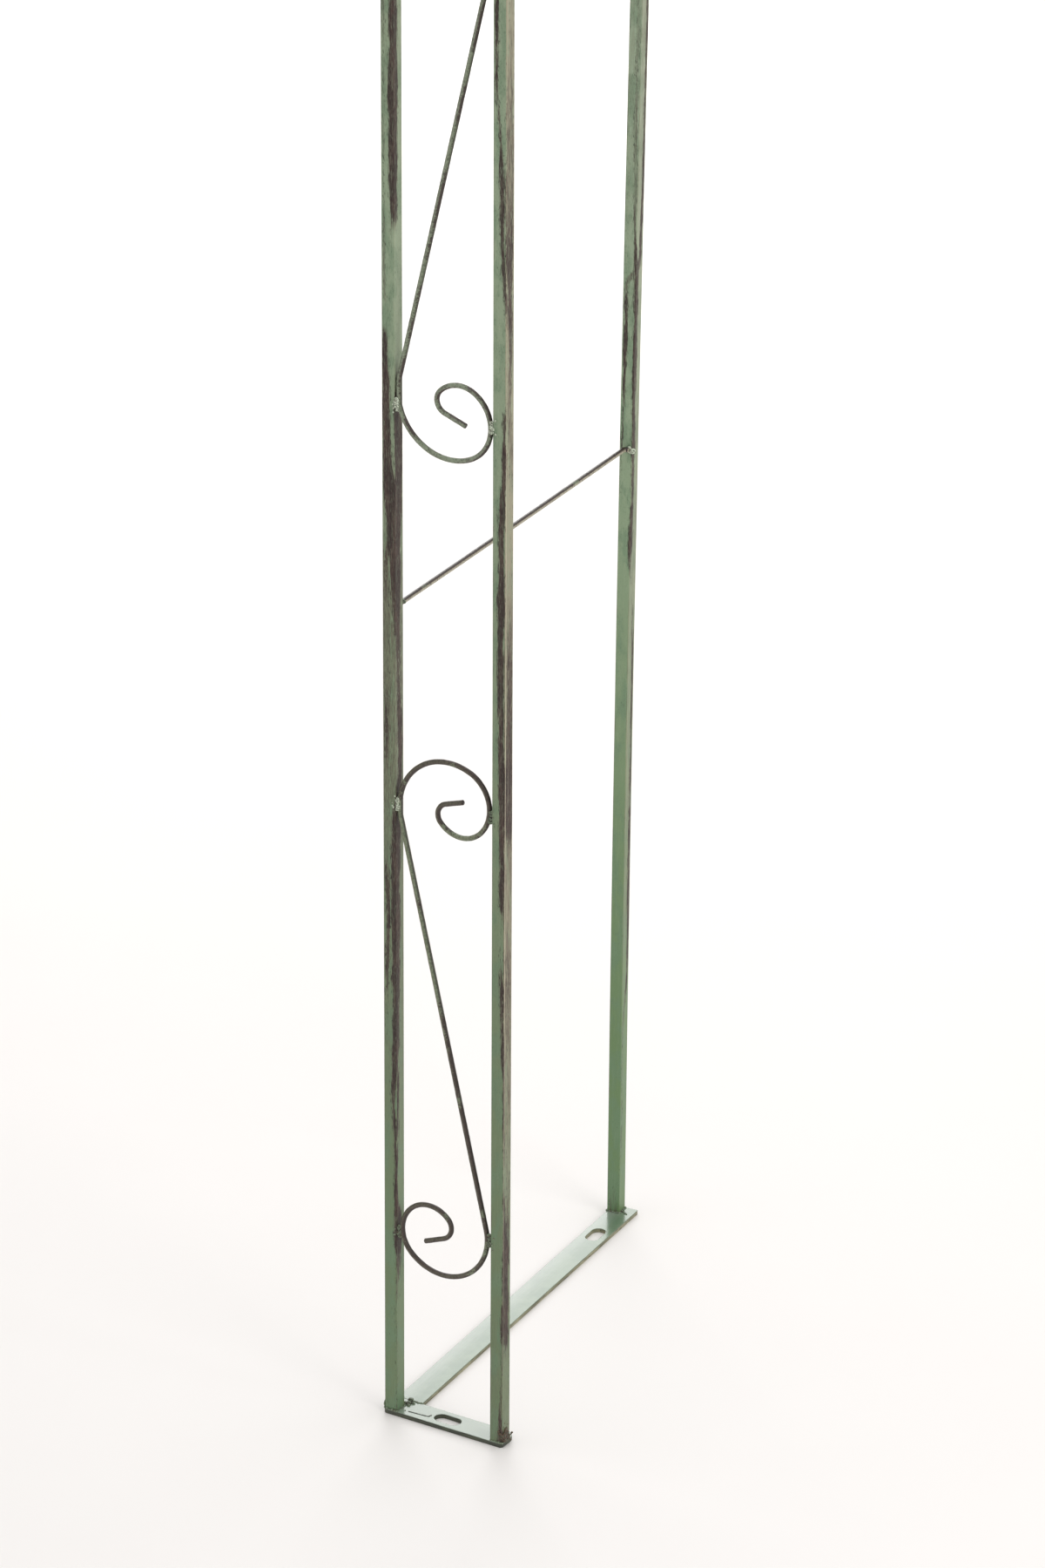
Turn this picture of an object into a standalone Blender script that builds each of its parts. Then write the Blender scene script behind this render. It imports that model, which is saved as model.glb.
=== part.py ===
"""Garden obelisk: a free-standing climbing-plant frame on an L-shaped base.

Three square-tube uprights stand on two slotted flat bars.  A narrow side
carries two wire scrolls, the wide side has plain rungs, and above the straight
section two bowed tubes sweep in to the corner upright under a ball finial.

Metres, +Z up.  X runs along the narrow side, Y along the wide side.
"""
import math

import bmesh
import bpy
from mathutils import Matrix, Vector

# ------------------------------------------------------------------ sizes
GAP = 0.0003                 # clearance left between pieces that touch

TUBE = 0.015                 # square tube, outside
WALL = 0.0012
TUBE_CORNER = 0.0009         # outside corner radius

BAR_W = 0.030                # flat bar of the base
BAR_T = 0.005
SLOT_L = 0.031               # ground-anchor slots
SLOT_W = 0.016

ROD = 0.0055                 # wire of the scrolls and rungs

SPAN_SHORT = 0.1305          # corner upright to side upright, centres
SPAN_LONG = 0.5209           # corner upright to rear upright, centres
SHORT_TURN = math.radians(-4.87)   # the narrow side is a little off square

SHORT_BAR_OFF = 0.0059       # base bars stand proud of the tubes inwards
LONG_BAR_OFF = 0.0076

JOINT_Z = 1.840              # lower frame ends, top section begins
RUNG_Z = 0.913
RUNG_X = 0.004
TOP_RUNG_Z = 1.790
APEX_Z = 2.262               # top of the corner upright

SCROLL_Y = -0.003            # plane of the scrolls, forward of the tube axis

# how far each upright has bowed at 1.5 m height (hand-welded frame)
BOW_CORNER = (-0.0021, 0.0009)
BOW_SIDE = (-0.0037, 0.0016)
BOW_REAR = (0.0163, -0.0102)

# scroll ends: tip, heading of the wire leaving the tip, straight stub, then
# (bend radius, angle); the last bend runs out into the straight diagonal
SCROLL_LOW = dict(tip=(0.0402, 0.2125), heading=21.5, stub=0.0245,
                  bends=((0.0146, 113.0), (0.0320, 92.0), (0.0359, 89.0),
                         (0.0548, 147.5)))
SCROLL_HIGH = dict(tip=(0.0449, 0.2196), heading=17.4, stub=0.0220,
                   bends=((0.0134, 113.5), (0.0321, 96.5), (0.0396, 109.0),
                          (0.0597, 127.0)))
SCROLL_TWO = dict(tip=(0.0427, 0.2183), heading=19.5, stub=0.0267,
                  bends=((0.0136, 115.5), (0.0324, 74.5), (0.0394, 127.0),
                         (0.0606, 126.5)))

GREEN = (0.17, 0.27, 0.18)
PATINA = (0.09, 0.08, 0.065)
SEAM = (0.20, 0.26, 0.20)
STEEL = (0.42, 0.42, 0.40)

# ------------------------------------------------------------------ scene
for old in list(bpy.data.objects):
    bpy.data.objects.remove(old, do_unlink=True)

parts = bpy.data.collections.new("garden_obelisk")
cutters = bpy.data.collections.new("obelisk_cutters")
bpy.context.scene.collection.children.link(parts)
bpy.context.scene.collection.children.link(cutters)


def material(name, color, rough, metal):
    mat = bpy.data.materials.new(name)
    mat.use_nodes = True
    bsdf = mat.node_tree.nodes["Principled BSDF"]
    bsdf.inputs["Base Color"].default_value = (*color, 1.0)
    bsdf.inputs["Roughness"].default_value = rough
    bsdf.inputs["Metallic"].default_value = metal
    return mat


def add_mesh(name, bm, mat_color, rough=0.45, metal=0.35, parent=None,
             collection=None):
    """Turn a bmesh into a named object with its own material."""
    bmesh.ops.recalc_face_normals(bm, faces=bm.faces[:])
    mesh = bpy.data.meshes.new(name)
    bm.to_mesh(mesh)
    bm.free()
    ob = bpy.data.objects.new(name, mesh)
    (collection or parts).objects.link(ob)
    if mat_color is not None:
        mesh.materials.append(material(name + "_finish", mat_color, rough, metal))
    if parent is not None:
        ob.parent = parent
    return ob


def empty(name, location, turn=0.0):
    ob = bpy.data.objects.new(name, None)
    ob.location = location
    ob.rotation_euler = (0.0, 0.0, turn)
    parts.objects.link(ob)
    return ob


short_side = empty("short_side", (0.0, 0.0, 0.0), SHORT_TURN)
long_side = empty("long_side", (0.0, 0.0, 0.0))
TURN = Matrix.Rotation(SHORT_TURN, 4, "Z")


def boolean(ob, cutter, operation="DIFFERENCE"):
    mod = ob.modifiers.new("cut_" + cutter.name, "BOOLEAN")
    mod.operation = operation
    mod.solver = "EXACT"
    mod.object = cutter
    return mod


def hide_cutter(ob):
    for c in list(ob.users_collection):
        c.objects.unlink(ob)
    cutters.objects.link(ob)
    ob.hide_render = True
    ob.display_type = "WIRE"


def smooth(ob, angle=35.0):
    ob.data.shade_smooth()
    ob.data.set_sharp_from_angle(angle=math.radians(angle))


# ------------------------------------------------------------- square tube
def rounded_square(side, radius, steps=3):
    """Corner points of a rounded square, counter-clockwise."""
    pts = []
    h = side / 2 - radius
    for k, (cx, cy) in enumerate(((h, h), (-h, h), (-h, -h), (h, -h))):
        for i in range(steps + 1):
            a = math.radians(90 * k + 90 * i / steps)
            pts.append((cx + radius * math.cos(a), cy + radius * math.sin(a)))
    return pts


def tube(name, stations, side, wall, corner, color, hint=(1.0, 0.0, 0.0),
         cap_level=(False, False), parent=None, collection=None):
    """Extrude a hollow square section from station to station.

    The section is square to the path, except that cap_level keeps an end flat
    where it stands on a bar or meets the next section."""
    path = [Vector(p) for p in stations]
    frames = []
    for i, p in enumerate(path):
        a = path[max(i - 1, 0)]
        b = path[min(i + 1, len(path) - 1)]
        t = (b - a).normalized()
        if (i == 0 and cap_level[0]) or (i == len(path) - 1 and cap_level[1]):
            t = Vector((0, 0, 1))
        u = (Vector(hint) - t * Vector(hint).dot(t)).normalized()
        v = t.cross(u)
        m = Matrix((u, v, t)).transposed().to_4x4()
        m.translation = p
        frames.append(m)

    bm = bmesh.new()
    loops = []
    sections = [(side, corner)]
    if wall:
        sections.append((side - 2 * wall, max(corner - wall, 0.0006)))
    for s, r in sections:
        verts = [bm.verts.new(frames[0] @ Vector((x, y, 0)))
                 for x, y in rounded_square(s, r)]
        edges = [bm.edges.new((verts[i - 1], verts[i])) for i in range(len(verts))]
        loops.append(edges)
    if wall:
        bmesh.ops.bridge_loops(bm, edges=loops[0] + loops[1])
    else:
        bmesh.ops.edgeloop_fill(bm, edges=loops[0])
    cap = bm.faces[:]
    for i, (before, after) in enumerate(zip(frames, frames[1:])):
        step = bmesh.ops.extrude_face_region(bm, geom=cap)["geom"]
        if i:                       # only the first cap stays as the tube's end
            bmesh.ops.delete(bm, geom=cap, context="FACES_ONLY")
        move = after @ before.inverted()
        for g in step:
            if isinstance(g, bmesh.types.BMVert):
                g.co = move @ g.co
        cap = [g for g in step if isinstance(g, bmesh.types.BMFace)]
    ob = add_mesh(name, bm, color, parent=parent, collection=collection)
    smooth(ob, 40)
    return ob


def bowed(base, bow, z):
    """Axis of a slightly bowed upright at height z."""
    k = (z / 1.5) ** 2
    return Vector((base[0] + bow[0] * k, base[1] + bow[1] * k, z))


def bow_slope(bow, z):
    return Vector((2 * bow[0] * z / 2.25, 2 * bow[1] * z / 2.25, 1)).normalized()


def heights(low, high, count):
    return [low + (high - low) * i / count for i in range(count + 1)]


POSTS = {
    "corner": ((0.0, 0.0), BOW_CORNER, short_side),
    "side": ((SPAN_SHORT, 0.0), BOW_SIDE, short_side),
    "rear": ((0.0, SPAN_LONG), BOW_REAR, long_side),
}
for label, (base, bow, parent) in POSTS.items():
    tube(label + "_upright",
         [bowed(base, bow, z) for z in heights(BAR_T + GAP, JOINT_Z - GAP / 2, 8)],
         TUBE, WALL, TUBE_CORNER, GREEN, cap_level=(True, True), parent=parent)

# --------------------------------------------------------------- top section
foot_c = bowed((0, 0), BOW_CORNER, JOINT_Z + GAP / 2)
lean_c = bow_slope(BOW_CORNER, JOINT_Z)
tube("corner_spire",
     [foot_c, foot_c + lean_c * 0.15, (foot_c.x, foot_c.y, APEX_Z)],
     TUBE, WALL, TUBE_CORNER, GREEN, cap_level=(True, True), parent=short_side)


def bezier(p0, p1, p2, p3, count):
    pts = []
    for i in range(1, count + 1):
        t = i / count
        s = 1 - t
        pts.append(p0 * s ** 3 + p1 * 3 * s * s * t + p2 * 3 * s * t * t + p3 * t ** 3)
    return pts


def bow_tube(name, base, bow, inner, hint, parent):
    """A tube that leaves its upright straight, then sweeps in to the spire."""
    start = bowed(base, bow, JOINT_Z + GAP / 2)
    lean = bow_slope(bow, JOINT_Z)
    knee = start + lean * 0.05
    end = Vector(inner)
    inward = Vector((end.x - start.x, end.y - start.y, 0))
    p1 = knee + lean * 0.14
    p2 = end - inward * 0.30 - Vector((0, 0, 0.105))
    path = [start, knee] + bezier(knee, p1, p2, end, 16)
    return tube(name, path, TUBE, WALL, TUBE_CORNER, GREEN, hint=hint,
                cap_level=(True, False), parent=parent)


spire_x, spire_y = foot_c.x, foot_c.y
rear_bow = bow_tube("rear_bow", (0.0, SPAN_LONG), BOW_REAR,
                    (spire_x, spire_y, 2.235), (1, 0, 0), long_side)
side_bow = bow_tube("side_bow", (SPAN_SHORT, 0.0), BOW_SIDE,
                    (spire_x, spire_y, 2.215), (0, 1, 0), short_side)

# the bows are cut back to the faces of the spire, and the two to each other
bpy.ops.mesh.primitive_cube_add(size=1.0)
spire_cut = bpy.context.active_object
spire_cut.name = "spire_envelope"
spire_cut.scale = (TUBE + 2 * GAP, TUBE + 2 * GAP, 0.6)
spire_cut.location = (spire_x, spire_y, 2.1)
spire_cut.parent = short_side
hide_cutter(spire_cut)

bpy.ops.mesh.primitive_cube_add(size=1.0)
beyond_rear = bpy.context.active_object
beyond_rear.name = "beyond_spire_front"
beyond_rear.scale = (0.08, 0.05, 0.6)
beyond_rear.location = (spire_x, spire_y - 0.025, 2.1)
beyond_rear.parent = short_side
hide_cutter(beyond_rear)

bpy.ops.mesh.primitive_cube_add(size=1.0)
beyond_side = bpy.context.active_object
beyond_side.name = "beyond_spire_left"
beyond_side.scale = (0.05, 0.08, 0.6)
beyond_side.location = (spire_x - 0.025, spire_y, 2.1)
beyond_side.parent = short_side
hide_cutter(beyond_side)

boolean(rear_bow, spire_cut)
boolean(rear_bow, beyond_rear)
boolean(side_bow, spire_cut)
boolean(side_bow, beyond_side)

# ------------------------------------------------------- sleeves and screws
SLEEVE = TUBE - 2 * WALL - 2 * GAP
SCREW_R = 0.0021
for label, (base, bow, parent) in POSTS.items():
    lean = bow_slope(bow, JOINT_Z)
    mid = bowed(base, bow, JOINT_Z)
    low = [bowed(base, bow, z) for z in (JOINT_Z - 0.040, JOINT_Z - 0.020)]
    sleeve = tube(label + "_joint_sleeve", low + [mid, mid + lean * 0.040],
                  SLEEVE, 0.0015, 0.0009, STEEL, parent=parent)
    # a self-tapping screw through the outer wall into the sleeve
    at = bowed(base, bow, JOINT_Z - 0.022)
    front = Vector((0, -1, 0)) if label != "rear" else Vector((1, 0, 0))
    turn = front.to_track_quat("Z", "Y").to_matrix().to_4x4()
    for what, radius, depth in (("hole", SCREW_R + GAP, 0.010),):
        bm = bmesh.new()
        bmesh.ops.create_cone(bm, cap_ends=True, segments=20, radius1=radius,
                              radius2=radius, depth=depth,
                              matrix=Matrix.Translation(at + front * TUBE / 2) @ turn)
        hole = add_mesh(label + "_screw_" + what, bm, None, parent=parent)
        hide_cutter(hole)
        boolean(bpy.data.objects[label + "_upright"], hole)
        boolean(sleeve, hole)
    bm = bmesh.new()
    outline = ((0.0, 0.0024), (0.0016, 0.0023), (0.0030, 0.0018), (0.0039, 0.0009),
               (0.0041, 0.0000 + GAP), (SCREW_R, 0.0000 + GAP), (SCREW_R, -0.0048),
               (0.0, -0.0062))
    ring = [bm.verts.new((r, 0, z)) for r, z in outline]
    for a, b in zip(ring, ring[1:]):
        bm.edges.new((a, b))
    screw = add_mesh(label + "_joint_screw", bm, STEEL, 0.35, 0.8, parent=parent)
    spin = screw.modifiers.new("turned", "SCREW")
    spin.steps = spin.render_steps = 24
    spin.use_merge_vertices = True
    spin.merge_threshold = 0.00005
    screw.matrix_local = Matrix.Translation(at + front * TUBE / 2) @ turn
    smooth(screw)


# ------------------------------------------------------------------ base bars
def outline_curve(name, loops, thickness):
    """A flat plate from 2D outlines: the first is the edge, others are holes."""
    curve = bpy.data.curves.new(name, "CURVE")
    curve.dimensions = "2D"
    curve.fill_mode = "BOTH"
    curve.extrude = thickness / 2
    for pts in loops:
        spline = curve.splines.new("POLY")
        spline.points.add(len(pts) - 1)
        for p, (x, y) in zip(spline.points, pts):
            p.co = (x, y, 0, 1)
        spline.use_cyclic_u = True
    return curve


def rounded_corner_plate(corners, radii, steps=8):
    """Fillet each corner of a convex counter-clockwise polygon."""
    pts = []
    n = len(corners)
    for i in range(n):
        p = Vector(corners[i])
        d0 = (Vector(corners[i - 1]) - p).normalized()
        d1 = (Vector(corners[(i + 1) % n]) - p).normalized()
        half = d0.angle(d1) / 2
        r = radii[i]
        centre = p + (d0 + d1).normalized() * (r / math.sin(half))
        a0 = p + d0 * (r / math.tan(half)) - centre
        a1 = p + d1 * (r / math.tan(half)) - centre
        sweep = a0.angle_signed(a1)
        for k in range(steps + 1):
            pts.append(centre + Matrix.Rotation(-sweep * k / steps, 2) @ a0)
    return [(q.x, q.y) for q in pts]


def slot_points(cx, cy, along_y, steps=12):
    half = SLOT_L / 2 - SLOT_W / 2
    pts = []
    for end, start in ((1, -90), (-1, 90)):
        for i in range(steps + 1):
            a = math.radians(start + 180 * i / steps)
            x = end * half + SLOT_W / 2 * math.cos(a)
            y = SLOT_W / 2 * math.sin(a)
            pts.append((cx - y, cy + x) if along_y else (cx + x, cy + y))
    return pts


def base_bar(name, corners, radii, slot, along_y, parent):
    curve = outline_curve(name, [rounded_corner_plate(corners, radii),
                                 slot_points(*slot, along_y)], BAR_T)
    temp = bpy.data.objects.new(name + "_curve", curve)
    mesh = bpy.data.meshes.new_from_object(temp)
    bpy.data.objects.remove(temp, do_unlink=True)
    bm = bmesh.new()
    bm.from_mesh(mesh)
    bmesh.ops.remove_doubles(bm, verts=bm.verts[:], dist=0.00002)
    bmesh.ops.dissolve_limit(bm, angle_limit=math.radians(1), verts=bm.verts[:],
                             edges=bm.edges[:])
    bpy.data.meshes.remove(mesh)
    ob = add_mesh(name, bm, SEAM, 0.38, 0.4, parent=parent)
    ob.location = (0, 0, BAR_T / 2)
    bev = ob.modifiers.new("edges", "BEVEL")
    bev.width = 0.0005
    bev.segments = 2
    bev.limit_method = "ANGLE"
    bev.angle_limit = math.radians(50)
    smooth(ob, 30)
    return ob


y0 = SHORT_BAR_OFF - BAR_W / 2
y1 = SHORT_BAR_OFF + BAR_W / 2
SHORT_X0, SHORT_X1 = -0.0085, SPAN_SHORT + 0.0083
base_bar("short_base_bar",
         [(SHORT_X0, y0), (SHORT_X1, y0), (SHORT_X1, y1), (SHORT_X0, y1)],
         (0.0040, 0.0035, 0.0140, 0.0020),
         (0.0625, SHORT_BAR_OFF), False, short_side)


def short_bar_back(x):
    """World Y of the narrow bar's inner edge at world X."""
    return y1 / math.cos(SHORT_TURN) + x * math.tan(SHORT_TURN)


x0 = LONG_BAR_OFF - BAR_W / 2
x1 = LONG_BAR_OFF + BAR_W / 2
LONG_Y1 = SPAN_LONG + 0.0095
base_bar("long_base_bar",
         [(x0, short_bar_back(x0) + GAP), (x1, short_bar_back(x1) + GAP),
          (x1, LONG_Y1), (x0, LONG_Y1)],
         (0.0008, 0.0008, 0.0015, 0.0015),
         (LONG_BAR_OFF, SPAN_LONG - 0.0660), True, long_side)


# -------------------------------------------------------------- wire scrolls
def scroll_end(spec):
    """Wire from its tip outwards, bent radius by radius (x, z in the panel)."""
    x, z = spec["tip"]
    a = math.radians(spec["heading"])
    pts = [(x, z)]
    x += spec["stub"] * math.cos(a)
    z += spec["stub"] * math.sin(a)
    pts.append((x, z))
    for radius, angle in spec["bends"]:
        cx, cz = x - radius * math.sin(a), z + radius * math.cos(a)
        n = max(3, round(angle / 9.0))
        for i in range(1, n + 1):
            b = a + math.radians(angle) * i / n
            pts.append((cx + radius * math.sin(b), cz - radius * math.cos(b)))
        x, z = pts[-1]
        a += math.radians(angle)
    return pts


def rod_curve(points, radius, resolution=3):
    curve = bpy.data.curves.new("rod", "CURVE")
    curve.dimensions = "3D"
    curve.bevel_depth = radius
    curve.bevel_resolution = resolution
    curve.use_fill_caps = True
    spline = curve.splines.new("POLY")
    spline.points.add(len(points) - 1)
    for p, co in zip(spline.points, points):
        p.co = (*co, 1)
    return curve


def rod(name, points, color, parent, radius=ROD / 2, collection=None):
    """Round bar along a path, as a closed mesh with welded caps."""
    curve = rod_curve(points, radius)
    temp = bpy.data.objects.new(name + "_curve", curve)
    mesh = bpy.data.meshes.new_from_object(temp)
    bpy.data.objects.remove(temp, do_unlink=True)
    bm = bmesh.new()
    bm.from_mesh(mesh)
    bmesh.ops.remove_doubles(bm, verts=bm.verts[:], dist=0.00002)
    bpy.data.meshes.remove(mesh)
    ob = add_mesh(name, bm, color, 0.5, 0.4, parent=parent, collection=collection)
    smooth(ob, 50)
    return ob


def in_panel(pts):
    """Lay the wire between the two uprights: it lies against them, not in them."""
    reach = TUBE / 2 + ROD / 2 + GAP
    laid = []
    for x, z in pts:
        left = bowed((0, 0), BOW_CORNER, z).x + reach
        right = bowed((SPAN_SHORT, 0), BOW_SIDE, z).x - reach
        laid.append((min(max(x, left), right), SCROLL_Y, z))
    return laid


low_end = scroll_end(SCROLL_LOW)
high_end = [(SPAN_SHORT - x, 0.938 - z) for x, z in scroll_end(SCROLL_HIGH)]
lower_path = in_panel(low_end + high_end[::-1])

second_low = [(SPAN_SHORT - x, 0.903 + z) for x, z in scroll_end(SCROLL_TWO)]
second_high = [(x, 1.840 - z) for x, z in low_end]
upper_path = in_panel(second_low + second_high[::-1])

lower_scroll = rod("lower_scroll", lower_path, PATINA, short_side)
upper_scroll = rod("upper_scroll", upper_path, PATINA, short_side)


# --------------------------------------------------------------------- rungs
def rung_ends(z):
    """A rung runs from the back of the corner upright to the rear upright."""
    a = bowed((0, 0), BOW_CORNER, z)
    b = bowed((0, SPAN_LONG), BOW_REAR, z)
    return (Vector((a.x + RUNG_X + 0.0010, a.y + TUBE / 2 + GAP + 0.0006, z)),
            Vector((b.x + RUNG_X - 0.0030, b.y - TUBE / 2 - GAP - 0.0002, z)))


for name, z in (("middle_rung", RUNG_Z), ("top_rung", TOP_RUNG_Z)):
    start, end = rung_ends(z)
    rod(name, [start, start.lerp(end, 0.5), end], PATINA, long_side)

a = bowed((0, 0), BOW_CORNER, TOP_RUNG_Z)
b = bowed((SPAN_SHORT, 0), BOW_SIDE, TOP_RUNG_Z)
rod("short_top_rung",
    [(a.x + TUBE / 2 + GAP, SCROLL_Y, TOP_RUNG_Z),
     (b.x - TUBE / 2 - GAP, SCROLL_Y, TOP_RUNG_Z)], PATINA, short_side)


# --------------------------------------------------------------------- welds
def blob(bm, centre, size, segments=16, rings=10):
    bmesh.ops.create_uvsphere(
        bm, u_segments=segments, v_segments=rings, radius=1.0,
        matrix=Matrix.Translation(centre) @ Matrix.Diagonal((*size, 1.0)))


def envelope(name, centre, scale, parent, turn=0.0):
    bpy.ops.mesh.primitive_cube_add(size=1.0)
    ob = bpy.context.active_object
    ob.name = name
    ob.scale = scale
    ob.location = centre
    ob.rotation_euler = (0, 0, turn)
    ob.parent = parent
    hide_cutter(ob)
    return ob


fat_lower = rod("lower_scroll_clearance", lower_path, None, short_side,
                ROD / 2 + GAP)
fat_upper = rod("upper_scroll_clearance", upper_path, None, short_side,
                ROD / 2 + GAP)
hide_cutter(fat_lower)
hide_cutter(fat_upper)


def post_box(label, z, height=0.05):
    """Clearance block the size of an upright around height z."""
    base, bow, parent = POSTS[label]
    at = bowed(base, bow, z)
    return envelope(label + "_clearance_%03d" % round(z * 100), at,
                    (TUBE + 2 * GAP, TUBE + 2 * GAP, height), parent)


def scroll_weld(name, label, z, rod_x, cutter, tall=0.0065):
    """Bead in front of a scroll where it meets an upright."""
    base, bow, parent = POSTS[label]
    at = bowed(base, bow, z)
    inward = 1 if label == "corner" else -1
    face = at.x + inward * TUBE / 2
    cx = (face + rod_x) / 2
    bm = bmesh.new()
    blob(bm, (cx, SCROLL_Y - 0.0026, z),
         (abs(rod_x - face) / 2 + 0.0024, 0.0030, tall))
    ob = add_mesh(name, bm, SEAM, 0.6, 0.4, parent=parent)
    boolean(ob, post_box(label, z))
    boolean(ob, cutter)
    smooth(ob, 50)
    return ob


def rod_x_at(path, z, toward):
    """Rod centre X nearest an upright at height z."""
    best = None
    for p, q in zip(path, path[1:]):
        if (p[2] - z) * (q[2] - z) <= 0 and p[2] != q[2]:
            t = (z - p[2]) / (q[2] - p[2])
            x = p[0] + (q[0] - p[0]) * t
            if best is None or (x - best) * toward > 0:
                best = x
    return best


for name, label, z, path, cutter in (
        ("weld_lower_scroll_foot", "corner", 0.2160, lower_path, fat_lower),
        ("weld_lower_scroll_side", "side", 0.2360, lower_path, fat_lower),
        ("weld_lower_scroll_head", "corner", 0.7000, lower_path, fat_lower),
        ("weld_lower_scroll_head_side", "side", 0.7110, lower_path, fat_lower),
        ("weld_upper_scroll_foot", "corner", 1.1290, upper_path, fat_upper),
        ("weld_upper_scroll_side", "side", 1.1270, upper_path, fat_upper),
        ("weld_upper_scroll_head", "corner", 1.6240, upper_path, fat_upper),
        ("weld_upper_scroll_head_side", "side", 1.6040, upper_path, fat_upper)):
    toward = -1 if label == "corner" else 1
    scroll_weld(name, label, z, rod_x_at(path, z, toward), cutter)


def collar(name, centre, inner, outer, height, parent, corner):
    """Square weld bead round the foot of a tube, rounded over at the top."""
    width = (outer - inner) / 2
    foot = Vector(centre)
    ob = tube(name, [foot, foot + Vector((0, 0, height))], outer, width,
              corner + width, SEAM, cap_level=(True, True), parent=parent)
    bev = ob.modifiers.new("rounded", "BEVEL")
    bev.width = width * 0.42
    bev.segments = 2
    bev.limit_method = "ANGLE"
    bev.angle_limit = math.radians(50)
    return ob


BEAD_IN = TUBE + 2 * GAP
collar("foot_weld_corner", (0, 0, BAR_T + GAP), BEAD_IN, TUBE + 0.0036, 0.0022,
       short_side, TUBE_CORNER)
collar("foot_weld_side", (SPAN_SHORT, 0, BAR_T + GAP), BEAD_IN, TUBE + 0.0016,
       0.0020, short_side, TUBE_CORNER)
collar("foot_weld_rear", (0, SPAN_LONG, BAR_T + GAP), BEAD_IN, TUBE + 0.0034,
       0.0022, long_side, TUBE_CORNER)

# lump on the outer face of the side upright, above its foot bead
bm = bmesh.new()
blob(bm, (SPAN_SHORT + TUBE / 2 + 0.0004, 0.0008, 0.0143), (0.0050, 0.0066, 0.0065))
lump = add_mesh("foot_weld_side_lump", bm, SEAM, 0.6, 0.4, parent=short_side)
boolean(lump, post_box("side", 0.015))
smooth(lump, 50)

# bead that joins the two base bars beside the corner upright
bm = bmesh.new()
blob(bm, (0.0086, 0.0158, BAR_T), (0.0048, 0.0057, 0.0042))
bar_weld = add_mesh("bar_joint_weld", bm, SEAM, 0.6, 0.4, parent=short_side)
boolean(bar_weld, envelope("under_bar_weld", (0.009, 0.016, BAR_T / 2 + GAP / 2),
                           (0.05, 0.05, BAR_T + GAP), short_side))
smooth(bar_weld, 50)

# small beads at the ends of the middle and top rungs
for name, z in (("middle", RUNG_Z), ("top", TOP_RUNG_Z)):
    a = bowed((0, 0), BOW_CORNER, z)
    b = bowed((0, SPAN_LONG), BOW_REAR, z)
    start, end = rung_ends(z)
    along = (end - start).normalized() * 0.01
    ends = {"corner": start, "rear": end}
    fat = rod(name + "_rung_clearance", [start - along, end + along], None,
              long_side, ROD / 2 + GAP)
    hide_cutter(fat)
    for label, at in ends.items():
        sign = 1 if label == "corner" else -1
        bm = bmesh.new()
        blob(bm, at + Vector((0, sign * 0.0004, 0)), (0.0042, 0.0028, 0.0044))
        bead = add_mesh("weld_%s_rung_%s" % (name, label), bm, SEAM, 0.6, 0.4,
                        parent=long_side)
        boolean(bead, fat)
        post = envelope("%s_rung_post_%s" % (name, label),
                        (a if label == "corner" else b) ,
                        (TUBE + 2 * GAP, TUBE + 2 * GAP, 0.05), long_side,
                        SHORT_TURN if label == "corner" else 0.0)
        boolean(bead, post)
        smooth(bead, 50)

# -------------------------------------------------------------------- finial
profile = ((0.0000, 0.0560), (0.0060, 0.0548), (0.0118, 0.0515), (0.0165, 0.0460),
           (0.0194, 0.0390), (0.0200, 0.0330), (0.0190, 0.0262), (0.0160, 0.0205),
           (0.0118, 0.0163), (0.0080, 0.0142), (0.0072, 0.0110), (0.0072, 0.0080),
           (0.0115, 0.0062), (0.0120, 0.0045), (0.0105, 0.0030), (0.0105, 0.0000),
           (0.0056, 0.0000), (0.0054, -0.0180), (0.0000, -0.0195))
bm = bmesh.new()
ring = [bm.verts.new((r, 0, z)) for r, z in profile]
for p, q in zip(ring, ring[1:]):
    bm.edges.new((p, q))
finial = add_mesh("ball_finial", bm, GREEN, parent=short_side)
finial.location = (spire_x, spire_y, APEX_Z + GAP)
spin = finial.modifiers.new("turned", "SCREW")
spin.steps = spin.render_steps = 40
spin.use_merge_vertices = True
spin.merge_threshold = 0.00005
smooth(finial, 40)

# ---------------------------------------------------- frame: base centre at 0
bpy.context.view_layer.update()
deps = bpy.context.evaluated_depsgraph_get()
low = Vector((1e9,) * 3)
high = Vector((-1e9,) * 3)
for ob in parts.objects:
    if ob.type != "MESH":
        continue
    shape = ob.evaluated_get(deps)
    for corner in shape.data.vertices:
        w = ob.matrix_world @ corner.co
        low = Vector(map(min, low, w))
        high = Vector(map(max, high, w))
shift = Vector((-(low.x + high.x) / 2, -(low.y + high.y) / 2, -low.z))
short_side.location += shift
long_side.location += shift
bpy.context.view_layer.update()
print("overall", [round(v, 4) for v in (high - low)], "shift",
      [round(v, 5) for v in shift])
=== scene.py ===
import math
import random

import bmesh
import bpy
from mathutils import Matrix, Vector, noise


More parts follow.
